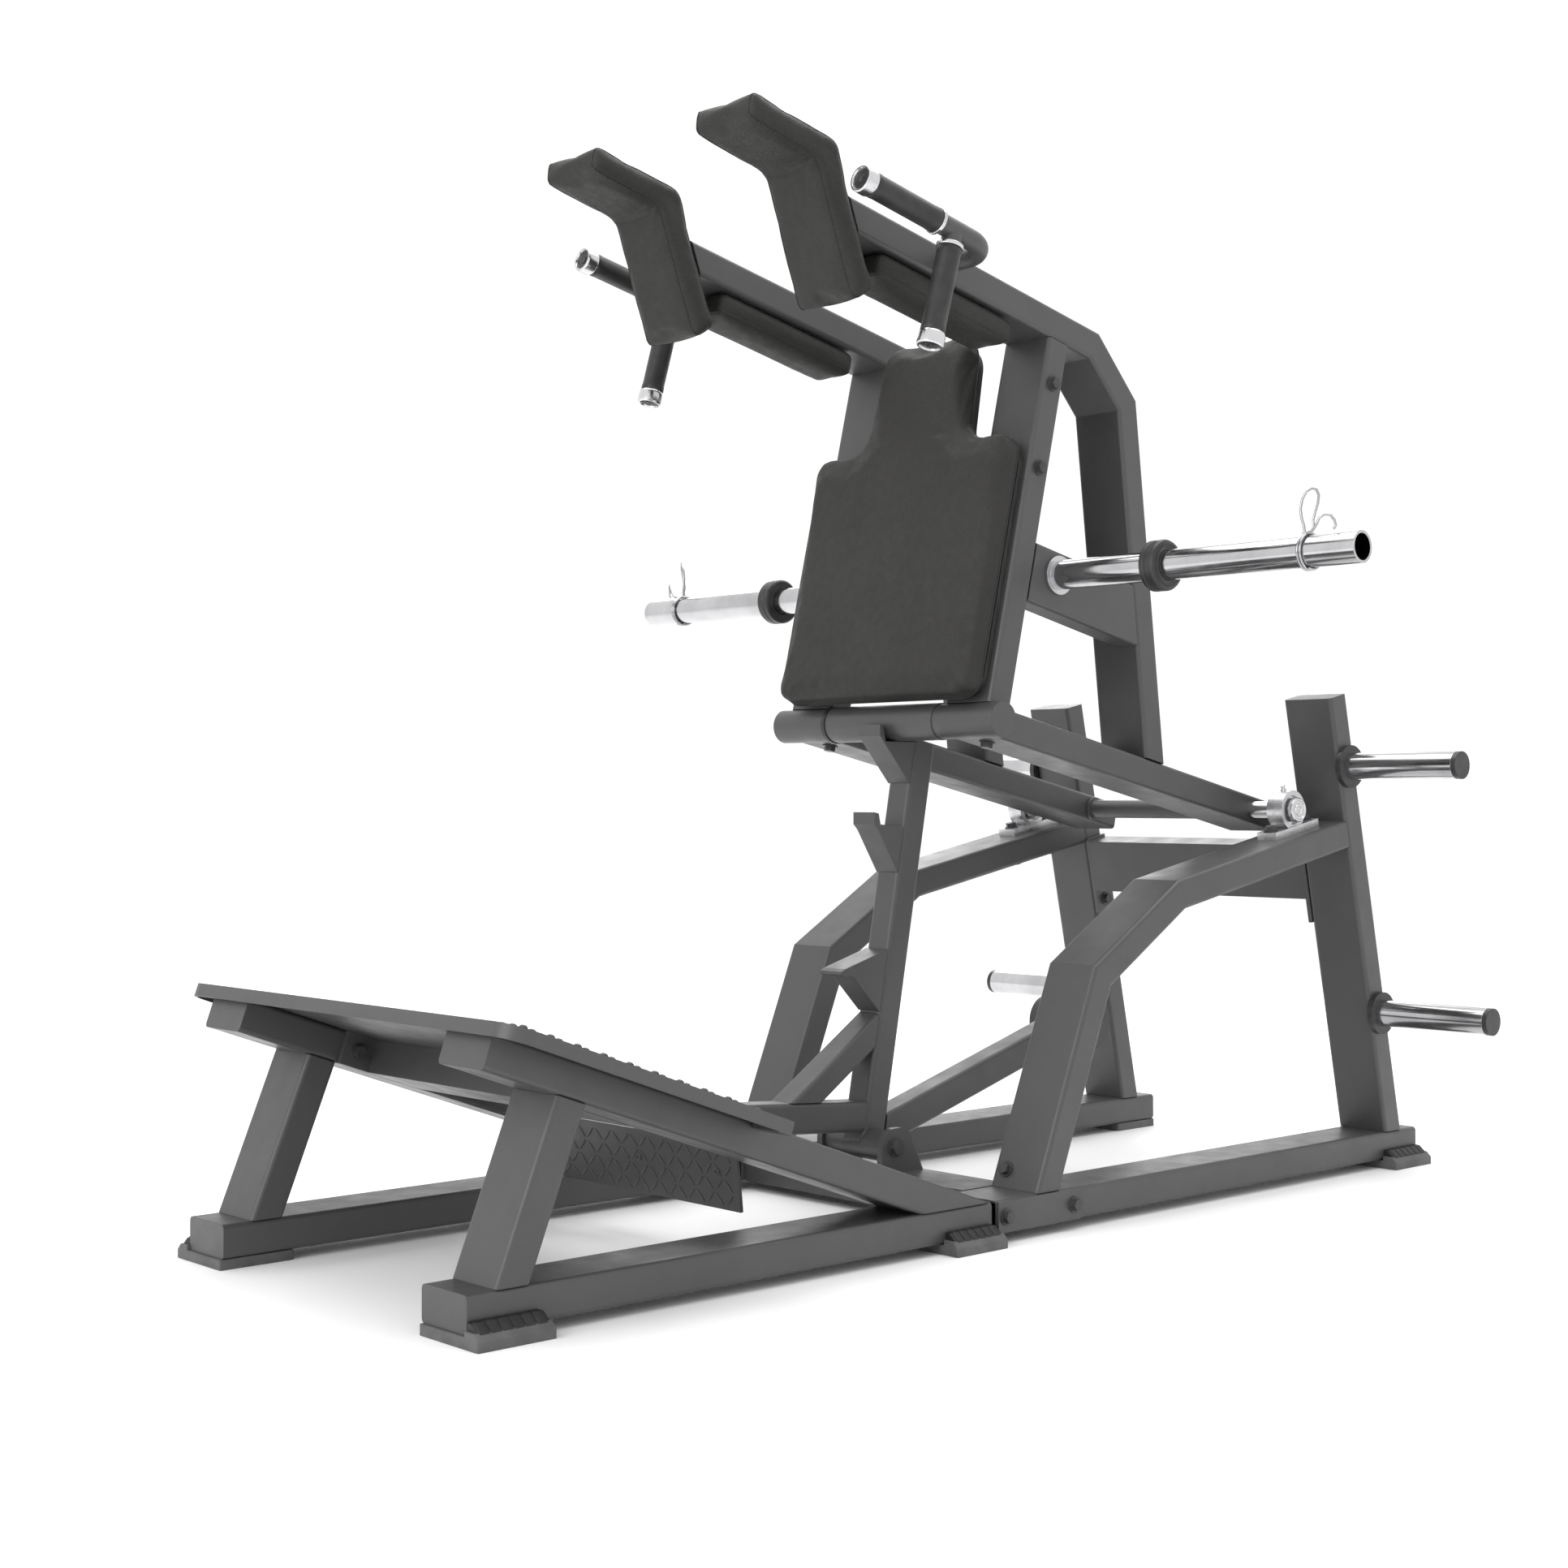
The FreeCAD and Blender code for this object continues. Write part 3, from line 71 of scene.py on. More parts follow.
class Surface:
    """A Principled material under construction, mapped by object coordinates."""

    def __init__(self, name):
        self.material = bpy.data.materials.new(name)
        self.material.use_nodes = True
        self.tree = self.material.node_tree
        self.shader = self.tree.nodes["Principled BSDF"]
        self.coords = self.tree.nodes.new("ShaderNodeTexCoord").outputs["Object"]

    def node(self, kind, **values):
        made = self.tree.nodes.new(kind)
        for key, value in values.items():
            if key in made.inputs:
                made.inputs[key].default_value = value
            else:
                setattr(made, key, value)
        return made

    def link(self, source, target):
        self.tree.links.new(source, target)

    def stretched(self, scale):
        """Object coordinates scaled per axis, for brushed and turned finishes."""
        mapping = self.node("ShaderNodeMapping")
        mapping.inputs["Scale"].default_value = scale
        self.link(self.coords, mapping.inputs["Vector"])
        return mapping.outputs["Vector"]

    def noise(self, scale, detail, vector=None):
        made = self.node("ShaderNodeTexNoise", Scale=scale, Detail=detail)
        self.link(vector or self.coords, made.inputs["Vector"])
        return made.outputs["Fac"]

    def cells(self, scale):
        made = self.node("ShaderNodeTexVoronoi", Scale=scale)
        self.link(self.coords, made.inputs["Vector"])
        return made.outputs["Distance"]

    def between(self, factor, low, high, low_at=0.3, high_at=0.7):
        """A number or colour that follows a texture from low to high."""
        if isinstance(low, tuple):
            made = self.node("ShaderNodeValToRGB")
            ends = made.color_ramp.elements
            ends[0].position, ends[0].color = low_at, (*low, 1)
            ends[1].position, ends[1].color = high_at, (*high, 1)
            self.link(factor, made.inputs["Fac"])
            return made.outputs["Color"]
        made = self.node("ShaderNodeMapRange")
        for key, value in (("From Min", low_at), ("From Max", high_at), ("To Min", low), ("To Max", high)):
            made.inputs[key].default_value = value
        self.link(factor, made.inputs["Value"])
        return made.outputs["Result"]

    def mixed(self, factor, first, second):
        made = self.node("ShaderNodeMix", data_type="RGBA")
        self.link(factor, made.inputs["Factor"])
        self.link(first, made.inputs[6])
        self.link(second, made.inputs[7])
        return made.outputs[2]

    def edge_mask(self, radius):
        """A mask, 1 on sharp edges and 0 on flat faces, and the softened normal."""
        bevel = self.node("ShaderNodeBevel", samples=4)
        bevel.inputs["Radius"].default_value = radius
        normal = self.node("ShaderNodeNewGeometry").outputs["Normal"]
        dot = self.node("ShaderNodeVectorMath", operation="DOT_PRODUCT")
        self.link(bevel.outputs["Normal"], dot.inputs[0])
        self.link(normal, dot.inputs[1])
        return self.between(dot.outputs["Value"], 1.0, 0.0, 0.8, 0.99), bevel.outputs["Normal"]

    def relief(self, heights, soft_normal=None):
        """Stacked bumps: each height is (texture, strength, depth in metres)."""
        normal = soft_normal
        for texture, strength, depth in heights:
            bump = self.node("ShaderNodeBump", Strength=strength, Distance=depth)
            self.link(texture, bump.inputs["Height"])
            if normal is not None:
                self.link(normal, bump.inputs["Normal"])
            normal = bump.outputs["Normal"]
        self.link(normal, self.shader.inputs["Normal"])

    def finish(self, colour, roughness, **constants):
        self.link(colour, self.shader.inputs["Base Color"])
        self.link(roughness, self.shader.inputs["Roughness"])
        for key, value in constants.items():
            self.shader.inputs[key.replace("_", " ")].default_value = value
        return self.material


def powder_coat(name, dark, light, worn):
    """Satin powder coat: orange-peel grain, soft mottling and paler worn edges."""
    made = Surface(name)
    mottle = made.between(made.noise(7.0, 4.0), dark, light)
    speck = made.between(made.noise(1400.0, 1.0), dark, light, 0.35, 0.8)
    coat = made.mixed(made.noise(90.0, 2.0), mottle, speck)
    edge, soft = made.edge_mask(0.0018)
    rub = made.between(made.noise(38.0, 5.0), 0.0, 0.75, 0.48, 0.72)
    wear = made.node("ShaderNodeMath", operation="MULTIPLY")
    made.link(edge, wear.inputs[0])
    made.link(rub, wear.inputs[1])
    pale = made.node("ShaderNodeRGB")
    pale.outputs[0].default_value = (*worn, 1)
    colour = made.mixed(wear.outputs[0], coat, pale.outputs[0])
    roughness = made.between(made.noise(24.0, 4.0), 0.36, 0.50)
    made.relief([(made.noise(620.0, 2.0), 0.22, 0.0006), (made.noise(2400.0, 1.0), 0.08, 0.0002)], soft)
    return made.finish(colour, roughness, Coat_Weight=0.12, Coat_Roughness=0.35)


def vinyl(name, dark, light):
    """Upholstery vinyl: pebbled leather grain with painted shade in its pits and a painted highlight on its
    ridges, and drawn wrinkles.
    """
    made = Surface(name)
    colour = made.between(made.noise(9.0, 6.0), dark, light)
    pebble = made.cells(430.0)
    crease = made.cells(820.0)
    # Painted shade and highlight: the pebble grain's pits are darkened and its raised ridges lightened.
    painted_pit_shade = made.between(pebble, tuple(c * 0.78 for c in dark), light, 0.05, 0.5)
    surface = made.mixed(made.between(pebble, 0.15, 0.55, 0.0, 0.6), colour, painted_pit_shade)
    roughness = made.between(made.noise(60.0, 4.0), 0.50, 0.64)
    pull = made.noise(16.0, 5.0, made.stretched((1.0, 1.0, 2.2)))
    made.relief([(pull, 0.25, 0.004), (pebble, 0.55, 0.0009), (crease, 0.35, 0.0005)])
    return made.finish(surface, roughness, Specular_IOR_Level=0.3)


def rubber(name, dark, light, grain, rough):
    made = Surface(name)
    dust = made.between(made.noise(45.0, 6.0), dark, light, 0.35, 0.8)
    roughness = made.between(made.noise(20.0, 4.0), rough - 0.07, rough + 0.07)
    soft = made.edge_mask(0.0012)[1]
    made.relief([(made.noise(grain, 3.0), 0.35, 0.0006)], soft)
    return made.finish(dust, roughness, Specular_IOR_Level=0.4)


def bright_metal(name, dark, light, rough, brushing):
    """Turned or plated metal: fine lines round the axis, soft smears and small roughness changes."""
    made = Surface(name)
    colour = made.between(made.noise(14.0, 4.0), dark, light)
    lines = made.noise(900.0, 2.0, made.stretched(brushing))
    smear = made.between(made.noise(22.0, 6.0), rough, rough + 0.09)
    soft = made.edge_mask(0.001)[1]
    made.relief([(lines, 0.06, 0.0003)], soft)
    return made.finish(colour, smear, Metallic=1.0)


def cast_metal(name, dark, light):
    made = Surface(name)
    colour = made.between(made.noise(30.0, 6.0), dark, light)
    roughness = made.between(made.noise(70.0, 4.0), 0.22, 0.38)
    made.relief([(made.noise(260.0, 2.0), 0.02, 0.0001)])
    return made.finish(colour, roughness, Metallic=0.9)


def painted_board(name):
    made = Surface(name)
    grain = made.noise(60.0, 6.0, made.stretched((4.0, 4.0, 0.25)))
    colour = made.between(grain, (0.012, 0.012, 0.012), (0.035, 0.034, 0.033))
    roughness = made.between(grain, 0.5, 0.75)
    made.relief([(grain, 0.3, 0.001)])
    return made.finish(colour, roughness)


LOOKS = {
    "frame_paint": powder_coat("powder_coat_grey", (0.048, 0.048, 0.049), (0.058, 0.058, 0.059),
                               (0.12, 0.12, 0.12)),
    "pad_vinyl": vinyl("pad_vinyl_black", (0.016, 0.0155, 0.0145), (0.024, 0.0235, 0.022)),
    "pad_board": painted_board("board_black"),
    "foot_rubber": rubber("foot_rubber_grey", (0.075, 0.075, 0.077), (0.110, 0.110, 0.112), 380.0, 0.55),
    "grip_rubber": rubber("grip_rubber_black", (0.016, 0.016, 0.017), (0.030, 0.030, 0.031), 900.0, 0.42),
    "cap_aluminium": bright_metal("turned_aluminium", (0.56, 0.56, 0.57), (0.70, 0.70, 0.71), 0.16,
                                  (1.0, 1.0, 1.0)),
    "horn_chrome": bright_metal("hard_chrome", (0.44, 0.44, 0.45), (0.60, 0.60, 0.61), 0.10,
                                (1.0, 0.02, 1.0)),
    "collar_black": rubber("collar_black", (0.020, 0.020, 0.021), (0.036, 0.036, 0.037), 500.0, 0.35),
    "bearing_housing": cast_metal("bearing_housing_silver", (0.52, 0.52, 0.53), (0.66, 0.66, 0.67)),
    "bearing_steel": bright_metal("ground_steel", (0.50, 0.50, 0.51), (0.64, 0.64, 0.65), 0.18,
                                  (1.0, 0.05, 1.0)),
    "bolt_black": rubber("bolt_black_oxide", (0.030, 0.030, 0.031), (0.060, 0.060, 0.062), 700.0, 0.38),
    "clip_steel": bright_metal("spring_steel", (0.34, 0.34, 0.35), (0.46, 0.46, 0.47), 0.16, (1.0, 1.0, 1.0)),
}
INSERT_BLACK = rubber("foot_insert_black", (0.010, 0.010, 0.010), (0.020, 0.020, 0.020), 520.0, 0.5)


# ---------------------------------------------------------------- mesh helpers

def new_object(name, mesh, slot_name, material=None):
    made = bpy.data.objects.new(name, mesh)
    scene.collection.objects.link(made)
    mesh.materials.clear()
    mesh.materials.append(material or LOOKS[slot_name])
    return made


def place(obj, body, *replaced):
    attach(obj, body)
    if replaced:
        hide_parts(*replaced)


def mesh_from(name, build):
    """A mesh made by a function that fills a bmesh."""
    work = bmesh.new()
    build(work)
    bmesh.ops.recalc_face_normals(work, faces=work.faces)
    mesh = bpy.data.meshes.new(name)
    work.to_mesh(mesh)
    work.free()
    return mesh


def shade_smooth(mesh, degrees=35.0):
    mesh.shade_smooth()
    mesh.set_sharp_from_angle(angle=math.radians(degrees))


def round_corners(points, radii):
    """A closed outline of (u, v) points with each corner replaced by an arc."""
    outline = []
    count = len(points)
    pieces = 7
    for i, radius in enumerate(radii):
        corner = Vector(points[i])
        before = Vector(points[i - 1]) - corner
        after = Vector(points[(i + 1) % count]) - corner
        angle = before.angle(after)
        reach = min(radius / math.tan(angle / 2), 0.49 * before.length, 0.49 * after.length)
        first = corner + before.normalized() * reach
        last = corner + after.normalized() * reach
        for k in range(pieces + 1):
            t = k / pieces
            outline.append(first * (1 - t) ** 2 + corner * 2 * t * (1 - t) + last * t ** 2)
    return outline


def shrunk(outline, distance):
    """The outline moved inwards by a distance."""
    area = sum(a.x * b.y - b.x * a.y for a, b in zip(outline, outline[1:] + outline[:1]))
    turn = 1.0 if area > 0 else -1.0
    result = []
    for i, point in enumerate(outline):
        along = outline[(i + 1) % len(outline)] - outline[i - 1]
        if along.length < 1e-9:
            continue
        along.normalize()
        result.append(point + Vector((-along.y, along.x)) * distance * turn)
    return result


def slab(outline, low, high, edge, to_world):
    """A closed extrusion of an outline from w = low to w = high with rounded rims."""
    def build(work):
        bottom = [work.verts.new((p.x, p.y, low)) for p in outline]
        cap = work.faces.new(bottom)
        moved = bmesh.ops.extrude_face_region(work, geom=[cap])
        top = [v for v in moved["geom"] if isinstance(v, bmesh.types.BMVert)]
        bmesh.ops.translate(work, verts=top, vec=(0, 0, high - low))
        rims = [e for e in work.edges if abs(e.verts[0].co.z - e.verts[1].co.z) < 1e-6]
        bmesh.ops.bevel(work, geom=rims, offset=edge, segments=4, profile=0.5, affect="EDGES")
        bmesh.ops.transform(work, matrix=to_world, verts=work.verts)
    return build


def lathe(profile, base, axis, turns):
    """A closed solid of revolution: profile is (distance along the axis, radius) pairs in metres."""
    axis = axis.normalized()
    side = axis.orthogonal().normalized()
    other = axis.cross(side)

    def build(work):
        rings = []
        for distance, radius in profile:
            ring = []
            for k in range(turns):
                angle = 2 * math.pi * k / turns
                ring.append(work.verts.new(base + axis * distance
                                           + (side * math.cos(angle) + other * math.sin(angle)) * radius))
            rings.append(ring)
        for low, high in zip(rings, rings[1:] + rings[:1]):
            for k in range(turns):
                following = (k + 1) % turns
                work.faces.new((low[k], low[following], high[following], high[k]))
    return build


def joined(builders):
    def build(work):
        for part in builders:
            piece = mesh_from("piece", part)
            work.from_mesh(piece)
            bpy.data.meshes.remove(piece)
    return build


def wire(name, runs, radius, slot_name):
    """Round wire through smooth runs of points, converted to a mesh."""
    curve = bpy.data.curves.new(name, "CURVE")
    curve.dimensions = "3D"
    curve.bevel_depth = radius
    curve.bevel_resolution = 3
    curve.use_fill_caps = True
    for points, cyclic in runs:
        spline = curve.splines.new("POLY")
        spline.points.add(len(points) - 1)
        for target, point in zip(spline.points, points):
            target.co = (*point, 1)
        spline.use_cyclic_u = cyclic
    holder = bpy.data.objects.new(name + "_line", curve)
    scene.collection.objects.link(holder)
    mesh = bpy.data.meshes.new_from_object(holder.evaluated_get(bpy.context.evaluated_depsgraph_get()))
    bpy.data.objects.remove(holder)
    mesh.shade_smooth()
    return new_object(name, mesh, slot_name)


# ---------------------------------------------------------------- cushions

VOXEL = 0.005
SWELL = 0.007          # how far a point of a cushion may move while it swells
SWELL_FRAMES = 20
PRESSURE = 4.0
SEAM_RADIUS = 0.0011
SEAM_STEP = 0.010      # longest stretch of a seam between two points on the cushion
COVER_INSET = 0.0045   # how far a cushion is drawn inside its outline before it swells
PAD_THICKNESS = 0.046


def swollen(name, build, held):
    """A cushion blown up by cloth pressure; `held(point)` says how firmly a point is kept, from 0 to 1."""
    mesh = mesh_from(name, build)
    cushion = bpy.data.objects.new(name, mesh)
    scene.collection.objects.link(cushion)
    remesh = cushion.modifiers.new("even", "REMESH")
    remesh.mode = "VOXEL"
    remesh.voxel_size = VOXEL
    dense = bpy.data.meshes.new_from_object(cushion.evaluated_get(bpy.context.evaluated_depsgraph_get()))
    cushion.modifiers.clear()
    cushion.data = dense
    start = np.array([v.co for v in dense.vertices])
    grip = cushion.vertex_groups.new(name="held")
    for index, point in enumerate(start):
        grip.add([index], held(Vector(point)), "REPLACE")
    cloth = cushion.modifiers.new("swell", "CLOTH")
    settings = cloth.settings
    settings.use_pressure = True
    settings.uniform_pressure_force = PRESSURE
    settings.effector_weights.gravity = 0.0
    settings.vertex_group_mass = "held"
    settings.tension_stiffness = 20.0
    settings.bending_stiffness = 1.0
    cloth.point_cache.frame_start, cloth.point_cache.frame_end = 1, SWELL_FRAMES
    for number in range(1, SWELL_FRAMES + 1):
        scene.frame_set(number)
    final = cushion.evaluated_get(bpy.context.evaluated_depsgraph_get())
    moved = np.array([v.co for v in final.data.vertices])
    cushion.modifiers.clear()
    scene.frame_set(1)
    shift = moved - start
    length = np.linalg.norm(shift, axis=1, keepdims=True)
    shift *= np.minimum(1.0, SWELL / np.maximum(length, 1e-9))
    dense.vertices.foreach_set("co", (start + shift).astype(np.float32).ravel())
    dense.update()
    smooth = cushion.modifiers.new("fair", "SMOOTH")
    smooth.factor, smooth.iterations = 0.5, 4
    finer = cushion.modifiers.new("finer", "SUBSURF")
    finer.levels = finer.render_levels = 1
    mesh = bpy.data.meshes.new_from_object(cushion.evaluated_get(bpy.context.evaluated_depsgraph_get()))
    bpy.data.objects.remove(cushion)
    mesh.shade_smooth()
    return new_object(name, mesh, "pad_vinyl")


def seam(name, cushion, points):
    """A fine welt that follows the cushion's surface."""
    tree = BVHTree.FromObject(cushion, bpy.context.evaluated_depsgraph_get())
    line = []
    dense = []
    for first, second in zip(points, points[1:] + points[:1]):
        pieces = max(1, int((second - first).length / SEAM_STEP))
        dense += [first.lerp(second, k / pieces) for k in range(pieces)]
    for point in dense:
        nearest, normal, _, _ = tree.find_nearest(point)
        line.append(nearest + normal * SEAM_RADIUS * 0.15)
    return wire(name, [(line, True)], SEAM_RADIUS, "pad_vinyl")


def crowned(name, corners, radii, frame_axes, low, high, body, node, edge, seam_levels,
            held_low=True):
    """A cushion from its outline: u and v lie in the outline's plane, w runs through the thickness."""
    origin, u_axis, v_axis, w_axis = frame_axes
    world = Matrix((
        (u_axis.x, v_axis.x, w_axis.x, origin.x),
        (u_axis.y, v_axis.y, w_axis.y, origin.y),
        (u_axis.z, v_axis.z, w_axis.z, origin.z),
        (0, 0, 0, 1)))
    back = world.inverted()
    outline = shrunk(round_corners(corners, radii), COVER_INSET)
    w_low, w_high = low + (0.0 if held_low else COVER_INSET), high - COVER_INSET

    def held(point):
        depth = (back @ point).z
        if held_low and depth < w_low + 0.006:
            return 1.0
        return 0.0

    cushion = swollen(name, slab(outline, w_low, w_high, edge, world), held)
    for number, level in enumerate(seam_levels):
        points = [world @ Vector((p.x, p.y, level)) for p in shrunk(outline, -0.004)]
        welt = seam("%s_seam_%d" % (name, number + 1), cushion, points)
        place(welt, body)
    place(cushion, body, node)


ARM_UPRIGHT = ((1100.0, 822.2), (1244.0, 1423.5))
BEAM_FRONT, BEAM_KNEE = (776.5, 1552.0), (1335.0, 1429.0)
BEAM_RUN = direction(BEAM_FRONT, BEAM_KNEE)
ARM_Y = 0.185


def back_cushion():
    run = direction(*ARM_UPRIGHT)
    forward = -Vector((run.z, 0, -run.x))
    start = at(ARM_UPRIGHT[0][0], 0, ARM_UPRIGHT[0][1]) + run * -0.008 + forward * 0.035
    corners = [(-0.234, 0.0), (0.234, 0.0), (0.234, 0.454), (0.119, 0.454), (0.105, 0.644), (-0.105, 0.644),
               (-0.119, 0.454), (-0.234, 0.454)]
    radii = [0.042, 0.042, 0.042, 0.042, 0.052, 0.052, 0.042, 0.042]
    crowned("back_cushion", corners, radii, (start, Y_AXIS, run, forward), 0.0, PAD_THICKNESS, "lever",
            "back_pad", edge=0.014, seam_levels=(0.009,))


def front_cushions():
    corners = [(549.0, 1651.0), (553.0, 1698.0), (733.0, 1655.0), (811.0, 1440.0), (762.0, 1409.0),
               (686.0, 1618.0)]
    radii = [0.012, 0.016, 0.028, 0.016, 0.016, 0.026]
    flat = [(at(x, 0, z).x, z / 1000) for x, z in corners]
    half = 0.074
    for side, sign in SIDES:
        origin = Vector((0, sign * ARM_Y, 0))
        axes = (origin, Vector((1, 0, 0)), Vector((0, 0, 1)), -Y_AXIS)
        crowned("front_cushion_" + side, flat, radii, axes, -half, half, "lever", "front_pad_" + side,
                edge=0.013, seam_levels=(-half + 0.014, half - 0.014), held_low=False)


def shoulder_cushions():
    down = -left_of(BEAM_RUN)
    for side, sign in SIDES:
        start = at(BEAM_FRONT[0], 0, BEAM_FRONT[1]) + BEAM_RUN * 0.066 + down * 0.027
        start.y = sign * ARM_Y
        corners = [(0.0, -0.049), (0.320, -0.049), (0.320, 0.049), (0.0, 0.049)]
        radii = [0.022] * 4
        crowned("shoulder_cushion_" + side, corners, radii, (start, BEAM_RUN, Y_AXIS, down), 0.0,
                PAD_THICKNESS, "lever", "shoulder_pad_" + side, edge=0.011, seam_levels=(0.037,))


back_cushion()
front_cushions()
shoulder_cushions()


# ---------------------------------------------------------------- feet, footplate and pedal

FEET = ((-5.0, 0.120), (840.0, 0.110), (1990.0, 0.115))      # station of the front end, length

# Cross-sections of a foot: (distance from the middle plane, height).
FOOT_TRAY = ((0.258, 0.0), (0.386, 0.0), (0.386, 0.013), (0.377, 0.022), (0.3565, 0.0225),
             (0.3565, 0.015), (0.258, 0.015))
FOOT_RIB = ((0.3570, 0.016), (0.380, 0.014), (0.3785, 0.0225), (0.366, 0.033), (0.3570, 0.0335))
FOOT_SPINE = ((0.3570, 0.016), (0.3785, 0.0145), (0.3770, 0.0215), (0.365, 0.0318), (0.3570, 0.0322))


def foot_bar(section, low, high, edge, axes):
    return slab([Vector(p) for p in section], low, high, edge, axes)


def rubber_feet():
    """Moulded boots: a rounded tray with a black ribbed slope outboard of the rail."""
    trays, inserts = [], []
    cells = 6
    margin = 0.008
    half_gap = 0.0008
    overhang = 0.003
    for _, sign in SIDES:
        for station, length in FEET:
            origin = at(station, 0, 0)
            axes = Matrix(((0, 0, 1, origin.x), (sign, 0, 0, 0), (0, 1, 0, 0), (0, 0, 0, 1)))
            trays.append(foot_bar(FOOT_TRAY, 0.0, length, 0.0022, axes))
            cell = (length - 2 * margin) / cells
            for k in range(cells):
                low = margin + k * cell + half_gap
                inserts.append(foot_bar(FOOT_RIB, low, low + cell - 2 * half_gap, 0.0009, axes))
            inserts.append(foot_bar(FOOT_SPINE, margin - overhang, length - margin + overhang, 0.0008, axes))
    feet = new_object("foot_trays", mesh_from("foot_trays", joined(trays)), "foot_rubber")
    shade_smooth(feet.data)
    place(feet, "base", "rubber_feet")
    ribs = new_object("foot_ribs", mesh_from("foot_ribs", joined(inserts)), "foot_rubber", INSERT_BLACK)
    shade_smooth(ribs.data)
    place(ribs, "base")


SUPPORT_FRONT, SUPPORT_REAR = (31.0, 362.0), (869.8, 65.0)
SUPPORT_RUN = direction(SUPPORT_FRONT, SUPPORT_REAR)
SUPPORT_UP = left_of(SUPPORT_RUN)


def dome(work, centre, run, side, up, long, wide, tall):
    """A low oval stud with a rounded top."""
    sides = 10
    levels = ((1.0, -0.05), (0.86, 0.55), (0.5, 0.92))
    rings = []
    for scale, height in levels:
        ring = []
        for k in range(sides):
            angle = 2 * math.pi * k / sides
            ring.append(work.verts.new(centre + run * long * scale * math.cos(angle)
                                       + side * wide * scale * math.sin(angle) + up * tall * height))
        rings.append(ring)
    tip = work.verts.new(centre + up * tall)
    for low, high in zip(rings, rings[1:]):
        for k in range(sides):
            following = (k + 1) % sides
            work.faces.new((low[k], low[following], high[following], high[k]))
    for k in range(sides):
        work.faces.new((rings[-1][k], rings[-1][(k + 1) % sides], tip))
    work.faces.new(tuple(reversed(rings[0])))


def footplate_studs():
    """Rows of raised studs over the footplate's tread."""
    support_half, plate = 0.025, 0.010
    corner = (at(SUPPORT_FRONT[0], 0, SUPPORT_FRONT[1]) + SUPPORT_UP * (support_half + plate)
              - SUPPORT_RUN * 0.017)
    pitch = 0.022
    radius, height = 0.0060, 0.0045
    rows, columns = 20, 37

    def build(work):
        for row in range(rows):
            shift = pitch / 2 if row % 2 else 0.0
            for column in range(columns):
                y = (column - (columns - 1) / 2) * pitch + shift - pitch / 4
                centre = corner + SUPPORT_RUN * (0.026 + row * pitch) + Y_AXIS * y
                dome(work, centre, SUPPORT_RUN, Y_AXIS, SUPPORT_UP, radius, radius, height)
    studs = new_object("footplate_studs", mesh_from("footplate_studs", build), "frame_paint")
    studs.data.shade_smooth()
    place(studs, "base")


def pedal_tread():
    """Diamond tread pattern and three painted screws on the pedal plate's front face."""
    up = direction((560.0, 80.0), (550.0, 177.0))
    forward = left_of(up)
    foot = at(562.0, 0, 80.0) + forward * 0.005
    spacing = 0.0215
    half_length, half_width, height = 0.0125, 0.0022, 0.0014

    def build(work):
        rows = 4
        columns = 20
        for row in range(rows):
            for column in range(columns):
                lean = 1 if (row + column) % 2 else -1
                y = (column - (columns - 1) / 2) * spacing
                centre = foot + up * (0.014 + row * spacing) + Y_AXIS * y
                run = (up + Y_AXIS * lean).normalized()
                dome(work, centre, run, run.cross(forward), forward, half_length, half_width, height)
    tread = new_object("pedal_diamonds", mesh_from("pedal_diamonds", build), "frame_paint")
    tread.data.shade_smooth()
    place(tread, "lock")
    heads = []
    for y in (-0.181, 0.0, 0.181):
        profile = [(-0.001, 0.0005), (-0.001, 0.0065), (0.0010, 0.0065), (0.0026, 0.0045), (0.0026, 0.0026),
                   (0.0012, 0.0024), (0.0012, 0.0005)]
        heads.append(lathe(profile, foot + up * 0.055 + Y_AXIS * y, forward, 24))
    screws = new_object("pedal_screws", mesh_from("pedal_screws", joined(heads)), "frame_paint")
    shade_smooth(screws.data)
    place(screws, "lock")


rubber_feet()
footplate_studs()
pedal_tread()


# ---------------------------------------------------------------- horns, clips and handles

HORN = (1237.0, 1038.0)
HORN_ROOT = 235.0      # y of the upright's outer face
CLIP_Y = 716.0
PIVOT = (1768.0, 652.0)
CROSS_TUBE = (1083.0, 798.0)
HANDLE_START = (697.0, 1571.0)


def horn_collars():
    """Black stop collars with a grooved rim, pressed over the chromed stops."""
    for side, sign in SIDES:
        base = at(HORN[0], sign * HORN_ROOT, HORN[1]) + Vector((0, sign, 0)) * 0.203
        profile = [(-0.004, 0.0245), (-0.004, 0.037), (-0.0015, 0.0402), (0.004, 0.0405), (0.0055, 0.0395),
                   (0.0085, 0.0395), (0.010, 0.0405), (0.021, 0.0405), (0.0245, 0.0385), (0.026, 0.034),
                   (0.0242, 0.032), (0.0242, 0.0280), (0.026, 0.0262), (0.026, 0.0245)]
        mesh = mesh_from("horn_collar_" + side, lathe(profile, base, Vector((0, sign, 0)), 72))
        collar = new_object("horn_collar_" + side, mesh, "collar_black")
        shade_smooth(collar.data, 28)
        place(collar, "lever")


